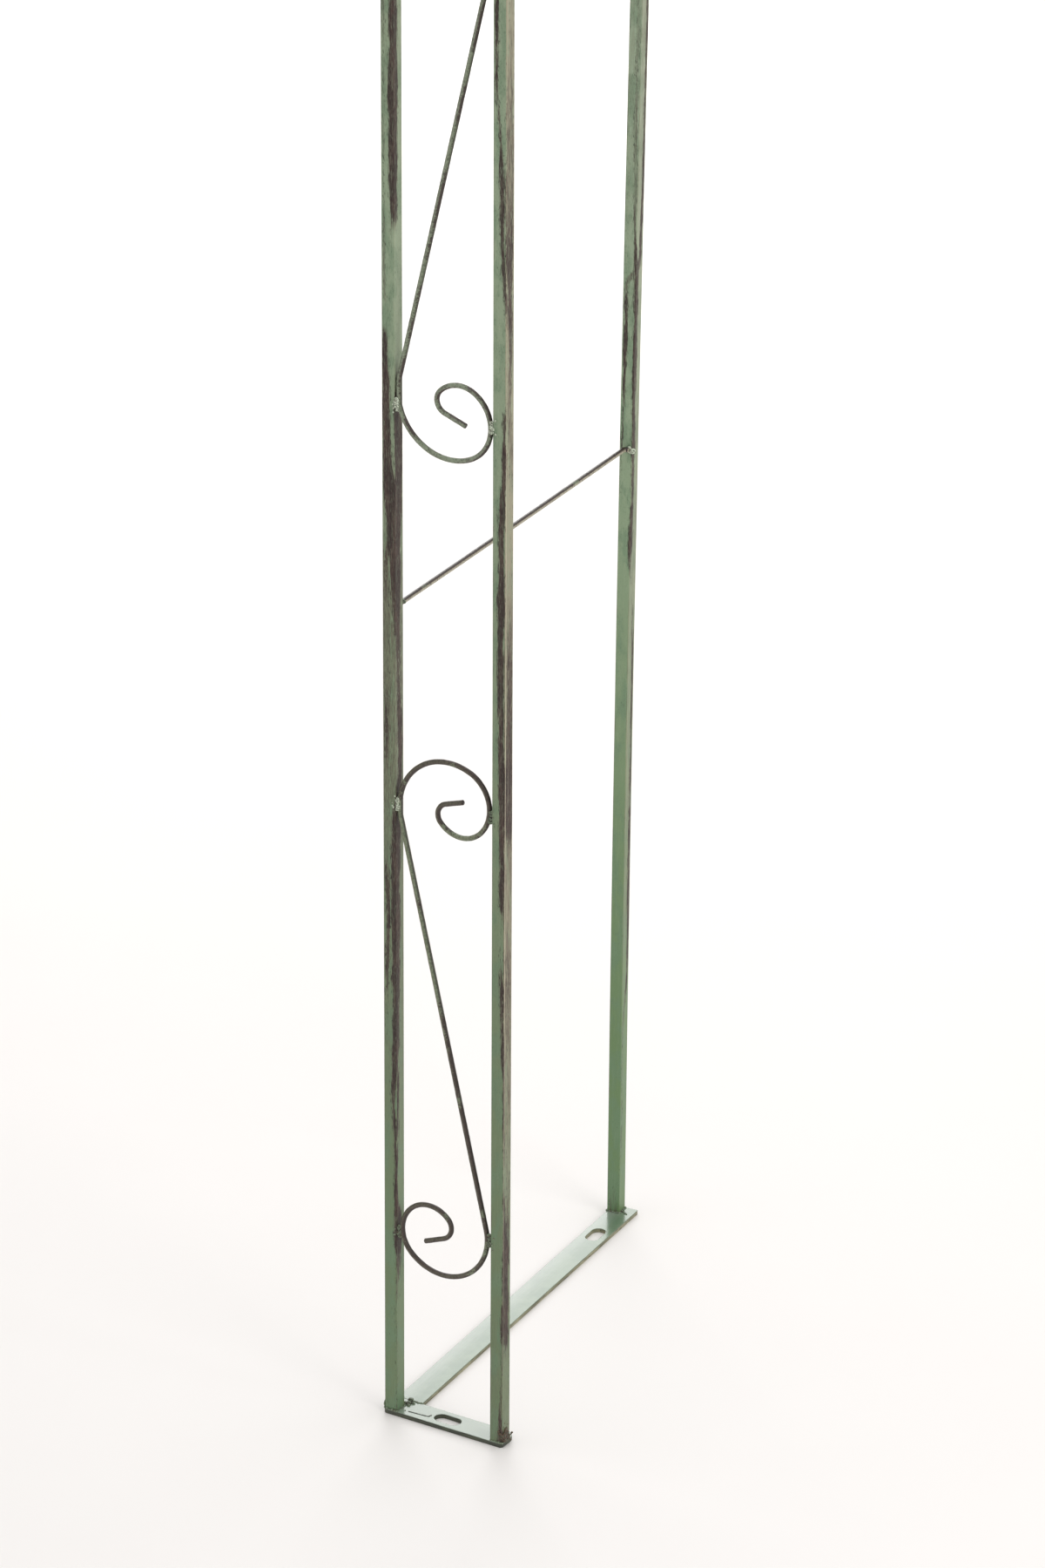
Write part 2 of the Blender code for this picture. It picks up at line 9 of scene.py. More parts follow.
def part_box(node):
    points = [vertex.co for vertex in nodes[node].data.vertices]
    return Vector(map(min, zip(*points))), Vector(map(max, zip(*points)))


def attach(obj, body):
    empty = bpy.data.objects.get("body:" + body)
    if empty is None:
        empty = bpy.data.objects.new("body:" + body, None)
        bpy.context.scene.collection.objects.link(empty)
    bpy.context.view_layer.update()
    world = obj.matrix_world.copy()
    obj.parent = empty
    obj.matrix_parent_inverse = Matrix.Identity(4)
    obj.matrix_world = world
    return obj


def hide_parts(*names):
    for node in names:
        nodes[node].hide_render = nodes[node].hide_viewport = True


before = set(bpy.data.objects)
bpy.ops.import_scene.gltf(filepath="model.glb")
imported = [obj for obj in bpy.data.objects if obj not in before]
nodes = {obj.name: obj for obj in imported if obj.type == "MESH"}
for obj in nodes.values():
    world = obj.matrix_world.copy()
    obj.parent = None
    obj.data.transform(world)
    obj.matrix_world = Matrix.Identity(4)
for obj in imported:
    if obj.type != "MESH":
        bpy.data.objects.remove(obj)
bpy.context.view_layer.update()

# --------------------------------------------------------------- the frame
# The same design numbers as the CAD, in metres.  The short side of the frame
# is turned a little, so its pieces are laid out in a panel space of their own.
SHORT_TURN = math.radians(-4.87)
TUBE = 0.015
SPAN_SHORT = 0.1305
SPAN_LONG = 0.5209
BOW = {"corner": (-0.0021, 0.0009), "side": (-0.0037, 0.0016), "rear": (0.0163, -0.0102)}
SCROLL_Y = -0.003
ROD = 0.0055
GAP = 0.0003
RUNG_X = 0.004

# where the corner upright's axis meets the ground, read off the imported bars
_lo, _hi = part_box("long_base_bar")
ORIGIN = Vector(((_lo.x + _hi.x) / 2 - 0.0076, _hi.y - SPAN_LONG - 0.0095, 0.0))
PANEL = Matrix.Translation(ORIGIN) @ Matrix.Rotation(SHORT_TURN, 4, "Z")
LONG = Matrix.Translation(ORIGIN)
SPACES = {"corner": PANEL, "side": PANEL, "rear": LONG}
BASES = {"corner": (0.0, 0.0), "side": (SPAN_SHORT, 0.0), "rear": (0.0, SPAN_LONG)}


def bowed(label, z):
    k = (z / 1.5) ** 2
    return Vector((BASES[label][0] + BOW[label][0] * k,
                   BASES[label][1] + BOW[label][1] * k, z))


# ------------------------------------------------------------ node helpers
class Tree:
    """Small wrapper so that a material reads as a list of steps."""

    def __init__(self, name):
        self.mat = bpy.data.materials.new(name)
        self.mat.use_nodes = True
        self.t = self.mat.node_tree
        self.t.nodes.clear()
        self.out = self.t.nodes.new("ShaderNodeOutputMaterial")
        self.bsdf = self.t.nodes.new("ShaderNodeBsdfPrincipled")
        self.t.links.new(self.bsdf.outputs[0], self.out.inputs[0])

    def put(self, socket, value):
        if isinstance(value, bpy.types.NodeSocket):
            self.t.links.new(value, socket)
        elif value is not None:
            socket.default_value = value

    def node(self, kind, **props):
        n = self.t.nodes.new(kind)
        for k, v in props.items():
            setattr(n, k, v)
        return n

    def math(self, op, a, b=None, c=None, clamp=False):
        n = self.node("ShaderNodeMath", operation=op, use_clamp=clamp)
        for i, v in enumerate((a, b, c)):
            if v is not None:
                self.put(n.inputs[i], v)
        return n.outputs[0]

    def vmath(self, op, a, b=None, scale=None):
        n = self.node("ShaderNodeVectorMath", operation=op)
        self.put(n.inputs[0], a)
        if b is not None:
            self.put(n.inputs[1], b)
        if scale is not None:
            self.put(n.inputs["Scale"], scale)
        return n.outputs["Value"] if op in ("LENGTH", "DOT_PRODUCT", "DISTANCE") else n.outputs[0]

    def combine(self, x, y, z):
        n = self.node("ShaderNodeCombineXYZ")
        for i, v in enumerate((x, y, z)):
            self.put(n.inputs[i], v)
        return n.outputs[0]

    def separate(self, v):
        n = self.node("ShaderNodeSeparateXYZ")
        self.put(n.inputs[0], v)
        return n.outputs[0], n.outputs[1], n.outputs[2]

    def noise(self, vec, scale=1.0, detail=2.0, rough=0.5, dist=0.0):
        n = self.node("ShaderNodeTexNoise")
        self.put(n.inputs["Vector"], vec)
        n.inputs["Scale"].default_value = scale
        n.inputs["Detail"].default_value = detail
        n.inputs["Roughness"].default_value = rough
        n.inputs["Distortion"].default_value = dist
        return n.outputs["Fac"]

    def voronoi(self, vec, scale=1.0, feature="F1"):
        n = self.node("ShaderNodeTexVoronoi", feature=feature)
        self.put(n.inputs["Vector"], vec)
        n.inputs["Scale"].default_value = scale
        return n.outputs["Distance"]

    def remap(self, v, a, b, c=0.0, d=1.0, smooth=True):
        n = self.node("ShaderNodeMapRange")
        n.interpolation_type = "SMOOTHSTEP" if smooth else "LINEAR"
        self.put(n.inputs["Value"], v)
        self.put(n.inputs["From Min"], a)
        self.put(n.inputs["From Max"], b)
        self.put(n.inputs["To Min"], c)
        self.put(n.inputs["To Max"], d)
        return n.outputs["Result"]

    def mix(self, fac, a, b, kind="MIX"):
        n = self.node("ShaderNodeMix", data_type="RGBA", blend_type=kind)
        self.put(n.inputs[0], fac)
        for s, v in ((n.inputs[6], a), (n.inputs[7], b)):
            self.put(s, (*v, 1.0) if isinstance(v, tuple) and len(v) == 3 else v)
        return n.outputs[2]

    def curve(self, v, points):
        """A float curve through (x, y) points, x and y from 0 to 1."""
        n = self.node("ShaderNodeFloatCurve")
        self.put(n.inputs["Value"], v)
        c = n.mapping.curves[0]
        for p, (x, y) in zip((c.points[0], c.points[-1]), (points[0], points[-1])):
            p.location = (x, y)
        for x, y in points[1:-1]:
            c.points.new(x, y)
        for p in c.points:
            p.handle_type = "AUTO_CLAMPED"
        n.mapping.update()
        return n.outputs[0]

    def bump(self, height, strength, distance, normal=None):
        n = self.node("ShaderNodeBump")
        n.inputs["Strength"].default_value = strength
        n.inputs["Distance"].default_value = distance
        self.put(n.inputs["Height"], height)
        if normal is not None:
            self.put(n.inputs["Normal"], normal)
        return n.outputs[0]


def srgb(r, g, b):
    out = []
    for v in (r, g, b):
        v /= 255.0
        out.append(v / 12.92 if v <= 0.04045 else ((v + 0.055) / 1.055) ** 2.4)
    return tuple(out)


# paint colours: green paint, rubbed brown patina, its olive veil
GREEN_LOW = srgb(108, 127, 93)
GREEN_HIGH = srgb(152, 169, 140)
GREEN_COOL = srgb(106, 135, 106)
GREEN_PALE = srgb(166, 180, 152)
BROWN_DARK = srgb(50, 34, 31)
BROWN_MID = srgb(98, 76, 67)
OLIVE = srgb(116, 115, 92)
KHAKI = srgb(146, 136, 112)
INK = srgb(34, 24, 21)
# the pale bone colour below is no paint colour but a painted highlight for the glint lines
HIGHLIGHT_BONE = srgb(205, 196, 172)


# --------------------------------------------------------------- materials
def finish_surface(t, color, rough, height, metal=0.0, bump=0.35, dist=0.0003, shine=0.4):
    t.put(t.bsdf.inputs["Base Color"], color)
    t.put(t.bsdf.inputs["Roughness"], rough)
    t.bsdf.inputs["Metallic"].default_value = metal
    t.bsdf.inputs["IOR"].default_value = 1.5
    t.bsdf.inputs["Specular IOR Level"].default_value = shine
    t.put(t.bsdf.inputs["Normal"], t.bump(height, bump, dist))
    return t.mat


TALL = 2.4       # heights run from 0 to 1 over this many metres
WIDE = 17.0      # places across the two faces run from minus to plus this, in mm


def streak(t, zt, s, rows, wob, fin, brush):
    """One rubbed streak: rows of (height m, left mm, right mm, strength).
    Returns how brown the paint is there and how close its border is."""
    left = t.math("MULTIPLY_ADD", t.curve(zt, [(z / TALL, (l + WIDE) / (2 * WIDE)) for z, l, r, k in rows]), 2 * WIDE, -WIDE)
    right = t.math("MULTIPLY_ADD", t.curve(zt, [(z / TALL, (r + WIDE) / (2 * WIDE)) for z, l, r, k in rows]), 2 * WIDE, -WIDE)
    force = t.curve(zt, [(z / TALL, k) for z, l, r, k in rows])
    inside = t.math("MINIMUM", t.math("SUBTRACT", s, left), t.math("SUBTRACT", right, s))
    reach = t.math("ADD", inside, t.math("ADD", wob, fin))
    body = t.remap(reach, -0.7, 1.3)
    cover = t.remap(t.math("SUBTRACT", t.math("MULTIPLY", force, 1.25), brush), -0.08, 0.30)
    rim = t.math("MULTIPLY", t.remap(t.math("ABSOLUTE", reach), 1.6, 0.3), t.remap(force, 0.1, 0.5))
    return t.math("MULTIPLY", body, cover), rim


def tube_paint(label, lanes, seed, green_low, green_high, side_tint=0.0, veil=None, glint=None):
    """Green paint on a square tube with patina rubbed along its edges; where glint is given, painted highlight lines
    too.
    """
    t = Tree("paint_" + label)
    p = t.node("ShaderNodeTexCoord").outputs["Object"]
    local = t.vmath("SUBTRACT", p, tuple(ORIGIN))
    if label != "rear":
        rot = t.node("ShaderNodeVectorRotate", rotation_type="Z_AXIS")
        t.put(rot.inputs["Vector"], local)
        rot.inputs["Angle"].default_value = -SHORT_TURN
        local = rot.outputs[0]
    x, y, z = t.separate(local)
    zz = t.math("MULTIPLY", t.math("MULTIPLY", z, z), 1 / 2.25)
    bx, by = BOW[label]
    lx = t.math("SUBTRACT", x, t.math("MULTIPLY_ADD", zz, bx, BASES[label][0]))
    ly = t.math("SUBTRACT", y, t.math("MULTIPLY_ADD", zz, by, BASES[label][1]))
    lx = t.math("MULTIPLY", lx, 1000.0)      # millimetres across
    ly = t.math("MULTIPLY", ly, 1000.0)
    # the two hidden faces carry the same kind of streaks at other heights
    behind = t.math("GREATER_THAN", t.math("SUBTRACT", ly, lx), 0.0)
    zs = t.math("ADD", z, t.math("MULTIPLY", behind, t.math("MULTIPLY_ADD", z, -0.75, 0.62)))
    lz = t.math("MULTIPLY_ADD", behind, 333.0, t.math("MULTIPLY", z, 1000.0))
    zt = t.math("DIVIDE", zs, TALL, clamp=True)
    # s runs round the rubbed edge: minus on the front face, plus on the side
    s = t.math("ADD", lx, ly)

    cell = t.combine(t.math("ADD", lx, seed * 17.3), t.math("ADD", ly, seed * 5.1), lz)
    brush = t.noise(t.vmath("MULTIPLY", cell, (1.0, 1.0, 0.05)), 0.85, 4.0, 0.62, 0.25)
    hair = t.noise(t.vmath("MULTIPLY", cell, (1.0, 1.0, 0.07)), 2.3, 3.0, 0.6, 0.2)
    broad = t.noise(t.vmath("MULTIPLY", cell, (1.0, 1.0, 0.16)), 0.17, 3.0, 0.6)
    blotch = t.noise(t.vmath("MULTIPLY", cell, (0.6, 0.6, 0.25)), 0.11, 3.0, 0.6)
    wob = t.math("MULTIPLY_ADD", broad, 7.0, -3.5)
    fin = t.math("MULTIPLY_ADD", brush, 7.0, -3.5)

    # green paint, deeper low down, paler and cloudier higher up
    green = t.mix(t.remap(z, 0.1, 1.5), green_low, green_high)
    green = t.mix(t.remap(blotch, 0.42, 0.62, 0.0, 0.55), green, GREEN_COOL)
    green = t.mix(t.math("MULTIPLY", t.remap(brush, 0.5, 0.75), t.remap(z, 0.2, 1.4, 0.15, 0.6)), green, GREEN_PALE)
    # fine dark mottling in the paint, more of it higher up
    dots = t.noise(t.vmath("MULTIPLY", cell, (1.0, 1.0, 0.30)), 1.05, 3.0, 0.65, 0.3)
    dots = t.math("MULTIPLY", t.remap(dots, 0.54, 0.64), t.remap(z, 0.05, 1.0, 0.12, 0.45))
    green = t.mix(t.math("MULTIPLY", dots, t.remap(blotch, 0.38, 0.58, 0.4, 1.0)), green, srgb(78, 94, 72))
    col = green

    # thin khaki wash wiped over the side face
    on_side = t.remap(lx, 6.4, 7.2)
    on_side = t.math("MULTIPLY", on_side, t.remap(ly, 7.4, 6.9))
    if side_tint:
        amount = t.remap(t.math("ADD", t.math("MULTIPLY", brush, 0.7), t.math("MULTIPLY", broad, 0.6)), 0.52, 0.72)
        amount = t.math("MULTIPLY", t.math("MULTIPLY", on_side, t.remap(z, 0.12, 0.55, 0.12, 1.0)),
                        t.math("MULTIPLY_ADD", amount, 0.55 * side_tint, 0.45 * side_tint))
        col = t.mix(amount, col, t.mix(hair, KHAKI, srgb(172, 164, 140)))
        # long brown lines drawn down through the wash
        lines = t.noise(t.vmath("MULTIPLY", cell, (1.0, 1.0, 0.03)), 0.95, 3.0, 0.6, 0.2)
        band = t.math("MULTIPLY", t.remap(z, 0.25, 0.5), t.remap(z, 1.02, 0.90))
        lines = t.math("MULTIPLY", t.math("MULTIPLY", t.remap(lines, 0.47, 0.57), on_side), band)
        col = t.mix(t.math("MULTIPLY", lines, 0.85 * side_tint), col, t.mix(hair, srgb(104, 84, 68), srgb(70, 54, 46)))
    if veil:
        m = t.curve(zt, [(zv / TALL, kv) for zv, kv in veil])
        m = t.math("MULTIPLY", m, t.remap(t.math("ADD", brush, t.math("MULTIPLY", hair, 0.4)), 0.56, 0.74, 0.05, 1.0))
        col = t.mix(m, col, t.mix(t.remap(hair, 0.42, 0.58), OLIVE, srgb(84, 74, 62)))

    total = None
    for rows in lanes:
        body, rim = streak(t, zt, s, rows, wob, fin, brush)
        if total is None:
            total, edge = body, rim
        else:
            total = t.math("MAXIMUM", total, body)
            edge = t.math("MAXIMUM", edge, rim)
    # a light rub on the other two corners as well
    corner2 = t.math("SUBTRACT", t.math("ABSOLUTE", s), 13.6)
    rub = t.remap(t.math("ADD", corner2, t.math("ADD", t.math("MULTIPLY", wob, 0.6), fin)), 0.4, 1.9)
    total = t.math("MAXIMUM", total, t.math("MULTIPLY", rub, 0.55))

    brown = t.mix(t.remap(t.math("ADD", t.math("MULTIPLY", brush, 0.6), t.math("MULTIPLY", hair, 0.5)), 0.44, 0.66),
                  BROWN_MID, BROWN_DARK)
    core = t.remap(total, 0.55, 1.0)
    brown = t.mix(t.math("MULTIPLY", core, t.remap(broad, 0.42, 0.6, 0.35, 0.95)), brown, BROWN_DARK)
    col = t.mix(t.math("MULTIPLY", total, t.remap(hair, 0.28, 0.5, 0.74, 1.0)), col, brown)

    # ink-dark strokes dragged slantwise along the border of the patina
    slant = t.combine(t.math("MULTIPLY_ADD", lz, 0.11, lx), t.math("MULTIPLY_ADD", lz, -0.11, ly),
                      t.math("MULTIPLY", lz, 0.085))
    strokes = t.noise(slant, 1.15, 3.0, 0.6, 0.15)
    ink = t.math("MULTIPLY", t.remap(strokes, 0.54, 0.61), edge)
    deep = t.math("MULTIPLY", t.remap(hair, 0.55, 0.66), t.remap(total, 0.35, 0.8))
    specks = t.math("MULTIPLY", t.remap(strokes, 0.665, 0.70), t.remap(blotch, 0.47, 0.56, 0.0, 0.8))
    ink = t.math("MAXIMUM", t.math("MAXIMUM", ink, t.math("MULTIPLY", deep, 0.7)), specks)
    col = t.mix(t.math("MULTIPLY", ink, 0.88), col, INK)
    # paint left bare inside the patina, seen as pale green hatching
    bare = t.math("MULTIPLY", t.remap(strokes, 0.42, 0.35), t.remap(total, 0.3, 0.7, 0.0, 0.75))
    thin = t.math("MULTIPLY", t.remap(t.noise(t.vmath("MULTIPLY", cell, (1.0, 1.0, 0.045)), 0.95, 2.0, 0.6, 0.3), 0.41, 0.33),
                  t.remap(total, 0.3, 0.7, 0.0, 0.6))
    bare = t.math("MULTIPLY", t.math("MAXIMUM", bare, thin), t.remap(total, 0.82, 1.0, 1.0, 0.35))
    col = t.mix(bare, col, t.mix(0.5, GREEN_PALE, green))

    # painted highlight: a pale bone hairline down the rubbed corner and a broken one on the side face, standing in for
    # light caught on the edges
    if glint:
        band = t.curve(zt, [(zv / TALL, kv) for zv, kv in glint])
        line = t.remap(t.math("ABSOLUTE", t.math("SUBTRACT", s, 1.3)), 0.80, 0.25)
        line = t.math("MULTIPLY", t.math("MULTIPLY", line, band), t.remap(hair, 0.38, 0.5, 0.35, 1.0))
        glint_side_line = t.remap(t.math("ABSOLUTE", t.math("SUBTRACT", s, 6.2)), 0.55, 0.2)
        glint_side_line = t.math("MULTIPLY", t.math("MULTIPLY", glint_side_line, band), t.remap(brush, 0.5, 0.62, 0.0, 0.5))
        col = t.mix(t.math("MAXIMUM", line, glint_side_line), col, HIGHLIGHT_BONE)
    rough = t.math("MULTIPLY_ADD", total, 0.16, 0.30)
    rough = t.math("ADD", rough, t.math("MULTIPLY", hair, 0.12))
    height = t.math("ADD", t.math("MULTIPLY", brush, 0.6),
                    t.math("ADD", t.math("MULTIPLY", ink, -0.35), t.math("MULTIPLY", hair, 0.3)))
    height = t.math("ADD", height, t.math("MULTIPLY", total, 0.35))
    return finish_surface(t, col, rough, height, bump=0.32, dist=0.00025)


def bow_paint(name, label, seed):
    """The swept top tubes.  Each bends in one upright plane, so a streak that
    keeps its place across that plane follows the tube all the way."""
    t = Tree(name)
    p = t.node("ShaderNodeTexCoord").outputs["Object"]
    local = t.vmath("SUBTRACT", p, tuple(ORIGIN))
    if label != "rear":
        rot = t.node("ShaderNodeVectorRotate", rotation_type="Z_AXIS")
        t.put(rot.inputs["Vector"], local)
        rot.inputs["Angle"].default_value = -SHORT_TURN
        local = rot.outputs[0]
    x, y, z = t.separate(local)
    k = (1.75 / 1.5) ** 2
    if label == "rear":
        u = t.math("SUBTRACT", x, BASES[label][0] + BOW[label][0] * k)
        v = y
    else:
        u = t.math("SUBTRACT", y, BASES[label][1] + BOW[label][1] * k)
        v = x
    u = t.math("MULTIPLY", u, 1000.0)
    v = t.math("MULTIPLY", v, 1000.0)
    w = t.math("MULTIPLY", z, 1000.0)
    place = t.combine(t.math("ADD", u, seed * 19.0), v, w)
    brush = t.noise(t.vmath("MULTIPLY", place, (1.0, 0.05, 0.05)), 0.85, 4.0, 0.62, 0.25)
    hair = t.noise(t.vmath("MULTIPLY", place, (1.0, 0.07, 0.07)), 2.3, 3.0, 0.6, 0.2)
    broad = t.noise(t.vmath("MULTIPLY", place, (0.6, 0.10, 0.10)), 0.17, 3.0, 0.6)
    blotch = t.noise(t.vmath("MULTIPLY", place, (0.6, 0.25, 0.25)), 0.11, 3.0, 0.6)
    col = t.mix(t.remap(blotch, 0.42, 0.62, 0.0, 0.55), GREEN_HIGH, GREEN_COOL)
    col = t.mix(t.math("MULTIPLY", t.remap(brush, 0.5, 0.75), 0.5), col, GREEN_PALE)
    wander = t.math("ADD", t.math("MULTIPLY_ADD", broad, 26.0, -13.0), t.math("MULTIPLY_ADD", brush, 7.0, -3.5))
    near = t.math("SUBTRACT", 3.2, t.math("ABSOLUTE", t.math("ADD", t.math("SUBTRACT", u, 2.6), wander)))
    total = t.math("MULTIPLY", t.remap(near, -0.7, 1.3), t.remap(brush, 0.66, 0.42))
    rim = t.math("SUBTRACT", t.math("ABSOLUTE", u), 6.3)
    rub = t.remap(t.math("ADD", rim, t.math("MULTIPLY", wander, 0.35)), 0.3, 1.6)
    total = t.math("MAXIMUM", total, t.math("MULTIPLY", rub, 0.7))
    brown = t.mix(t.remap(t.math("ADD", t.math("MULTIPLY", brush, 0.6), t.math("MULTIPLY", hair, 0.5)), 0.44, 0.66),
                  BROWN_MID, BROWN_DARK)
    col = t.mix(t.math("MULTIPLY", total, t.remap(hair, 0.28, 0.5, 0.74, 1.0)), col, brown)
    deep = t.math("MULTIPLY", t.remap(hair, 0.55, 0.66), t.remap(total, 0.35, 0.8))
    col = t.mix(t.math("MULTIPLY", deep, 0.6), col, INK)
    rough = t.math("ADD", t.math("MULTIPLY_ADD", total, 0.16, 0.30), t.math("MULTIPLY", hair, 0.12))
    height = t.math("ADD", t.math("MULTIPLY", brush, 0.6), t.math("MULTIPLY", hair, 0.3))
    return finish_surface(t, col, rough, height, bump=0.3, dist=0.00025)


def ball_paint(name, seed):
    """The finial: the same green, brushed round with patina."""
    t = Tree(name)
    p = t.node("ShaderNodeTexCoord").outputs["Object"]
    mm = t.vmath("ADD", t.vmath("SCALE", p, scale=1000.0), (seed * 23.0, seed * 11.0, seed * 7.0))
    brush = t.noise(t.vmath("MULTIPLY", mm, (0.22, 0.22, 0.9)), 0.8, 4.0, 0.62, 0.5)
    hair = t.noise(t.vmath("MULTIPLY", mm, (0.4, 0.4, 1.0)), 1.7, 3.0, 0.6, 0.3)
    green = t.mix(t.remap(brush, 0.35, 0.7), GREEN_HIGH, GREEN_COOL)
    total = t.remap(t.math("ADD", t.math("MULTIPLY", brush, 0.7), t.math("MULTIPLY", hair, 0.3)), 0.50, 0.60)
    col = t.mix(t.math("MULTIPLY", total, 0.85), green, t.mix(hair, BROWN_MID, BROWN_DARK))
    rough = t.math("MULTIPLY_ADD", hair, 0.14, 0.32)
    return finish_surface(t, col, rough, brush, bump=0.3, dist=0.00025)


def bar_paint(name, along_y, sides, sheen_span):
    """Flat bar: smooth glossy green top with a painted sheen towards one long edge, patina caught along the edges."""
    t = Tree(name)
    p = t.node("ShaderNodeTexCoord").outputs["Object"]
    mm = t.vmath("SCALE", p, scale=1000.0)
    x, y, z = t.separate(mm)
    stretch = (1.0, 0.06, 1.0) if along_y else (0.06, 1.0, 1.0)
    brush = t.noise(t.vmath("MULTIPLY", mm, stretch), 0.9, 4.0, 0.6, 0.3)
    blotch = t.noise(mm, 0.03, 3.0, 0.6)
    grain = t.noise(mm, 1.2, 3.0, 0.55)
    col = t.mix(t.remap(blotch, 0.35, 0.65), srgb(100, 122, 98), srgb(114, 133, 108))
    # painted sheen: the top is painted paler, nearly white, towards one long edge, a stand-in for the reflection on it
    lo, hi = sheen_span
    painted_sheen = t.remap(t.math("ADD", x if along_y else y, t.math("MULTIPLY", t.math("SUBTRACT", brush, 0.5), 9.0)), lo, hi)
    col = t.mix(t.math("MULTIPLY", painted_sheen, 0.55), col, srgb(164, 172, 162))
    chips = t.noise(mm, 0.45, 3.0, 0.7)
    col = t.mix(t.math("MULTIPLY", t.remap(chips, 0.68, 0.72), 0.6), col, OLIVE)
    edge = t.remap(z, 4.8, 4.25)
    side_col = t.mix(t.remap(blotch, 0.4, 0.6), sides[0], sides[1])
    side_col = t.mix(t.remap(brush, 0.5, 0.68), side_col, sides[2])
    col = t.mix(t.math("MULTIPLY", edge, 0.95), col, side_col)
    line = t.math("MULTIPLY", t.remap(t.math("ABSOLUTE", t.math("SUBTRACT", z, 4.35)), 0.6, 0.2),
                  t.remap(t.noise(mm, 0.022, 2.0, 0.5), 0.44, 0.54))
    col = t.mix(t.math("MULTIPLY", line, 0.35 if along_y else 0.8), col, INK)
    rough = t.math("MULTIPLY_ADD", grain, 0.08, 0.17)
    rough = t.math("ADD", rough, t.math("MULTIPLY", edge, 0.25))
    height = t.math("MULTIPLY_ADD", brush, 0.25, t.math("MULTIPLY", grain, 0.4))
    return finish_surface(t, col, rough, height, bump=0.12, dist=0.0002, shine=0.62)


def rod_paint(name, green_share, seed, highlight_way, highlight_color, highlight_strength, rise=None):
    """Wire: brown patina nearly all over, green showing through in patches, with a painted highlight down one side and
    painted shade down the other.
    """
    t = Tree(name)
    p = t.node("ShaderNodeTexCoord").outputs["Object"]
    mm = t.vmath("SCALE", p, scale=1000.0)
    mm = t.vmath("ADD", mm, (seed * 31.0, seed * 7.0, seed * 13.0))
    patch = t.noise(mm, 0.024, 3.0, 0.65)
    fine = t.noise(mm, 0.45, 4.0, 0.65, 0.5)
    grain = t.noise(mm, 1.9, 2.0, 0.5)
    level = t.math("ADD", patch, t.math("MULTIPLY_ADD", fine, 0.36, -0.18))
    if rise:
        height_z = t.separate(p)[2]
        kept = t.math("MULTIPLY", t.remap(height_z, rise[0], rise[1]), t.remap(height_z, rise[3], rise[2]))
        level = t.math("MULTIPLY_ADD", kept, 0.26, level)
    mask = t.remap(level, 0.62 - green_share * 0.3, 0.72 - green_share * 0.3)
    green = t.mix(t.remap(fine, 0.35, 0.65), srgb(88, 98, 76), srgb(128, 138, 112))
    brown = t.mix(t.remap(fine, 0.3, 0.7), srgb(50, 40, 35), srgb(76, 62, 54))
    col = t.mix(mask, brown, green)
    col = t.mix(t.remap(grain, 0.60, 0.70, 0.0, 0.7), col, INK)
    # painted highlight: the side of the wire that faces the given way is painted light, standing in for the sheen down
    # a lit round bar
    geo = t.node("ShaderNodeNewGeometry")
    facing = t.vmath("DOT_PRODUCT", geo.outputs["Normal"], tuple(Vector(highlight_way).normalized()))
    painted_highlight = t.math("MULTIPLY", t.remap(facing, 0.42, 0.82), t.remap(fine, 0.34, 0.56, 0.35, 1.0))
    if rise:
        painted_highlight = t.math("MULTIPLY", painted_highlight, t.math("MULTIPLY_ADD", kept, 0.65, 0.35))
    col = t.mix(t.math("MULTIPLY", painted_highlight, highlight_strength), col, highlight_color)
    # painted shade: the side turned away from that way is painted dark
    shade = t.remap(facing, 0.30, -0.15)
    col = t.mix(t.math("MULTIPLY", shade, 0.75), col, srgb(44, 36, 31))
    rough = t.math("MULTIPLY_ADD", grain, 0.2, 0.26)
    height = t.math("MULTIPLY_ADD", fine, 0.6, t.math("MULTIPLY", grain, 0.3))
    return finish_surface(t, col, rough, height, bump=0.3, dist=0.0003, shine=0.5)


def weld_paint(name, rusty=0.0, pit=srgb(42, 40, 32), crown_color=srgb(142, 158, 130), crest=(0.47, 0.57), fleck=(0.3, 0.6, 0.4)):
    """Painted weld: pale green on the crowns, dark brown in the crevices."""
    t = Tree(name)
    p = t.node("ShaderNodeTexCoord").outputs["Object"]
    mm = t.vmath("SCALE", p, scale=1000.0)
    geo = t.node("ShaderNodeNewGeometry")
    point = geo.outputs["Pointiness"]
    fine = t.noise(mm, 0.8, 3.0, 0.6)
    crown = t.remap(point, *crest)
    crown = t.math("MULTIPLY", crown, t.remap(fine, fleck[0], fleck[1], fleck[2], 1.0))
    col = t.mix(crown, pit, crown_color)
    rust = t.remap(t.noise(mm, 0.33, 2.0, 0.5), 0.58 - 0.14 * rusty, 0.66 - 0.12 * rusty)
    col = t.mix(t.math("MULTIPLY", rust, 0.6), col, t.mix(fine, srgb(58, 44, 30), srgb(104, 66, 48)))
    rough = t.math("MULTIPLY_ADD", fine, 0.25, 0.28)
    return finish_surface(t, col, rough, fine, bump=0.4, dist=0.0004)


def plain_steel(name, color, rough):
    t = Tree(name)
    p = t.node("ShaderNodeTexCoord").outputs["Object"]
    mm = t.vmath("SCALE", p, scale=1000.0)
    fine = t.noise(t.vmath("MULTIPLY", mm, (1.0, 1.0, 0.1)), 1.5, 3.0, 0.6)
    col = t.mix(fine, color, tuple(c * 0.7 for c in color))
    return finish_surface(t, col, t.math("MULTIPLY_ADD", fine, 0.2, rough), fine,
                          metal=0.9, bump=0.15, dist=0.0002)


def assign(node_name, mat):
    ob = nodes[node_name]
    ob.data.materials.clear()
    ob.data.materials.append(mat)
    return ob


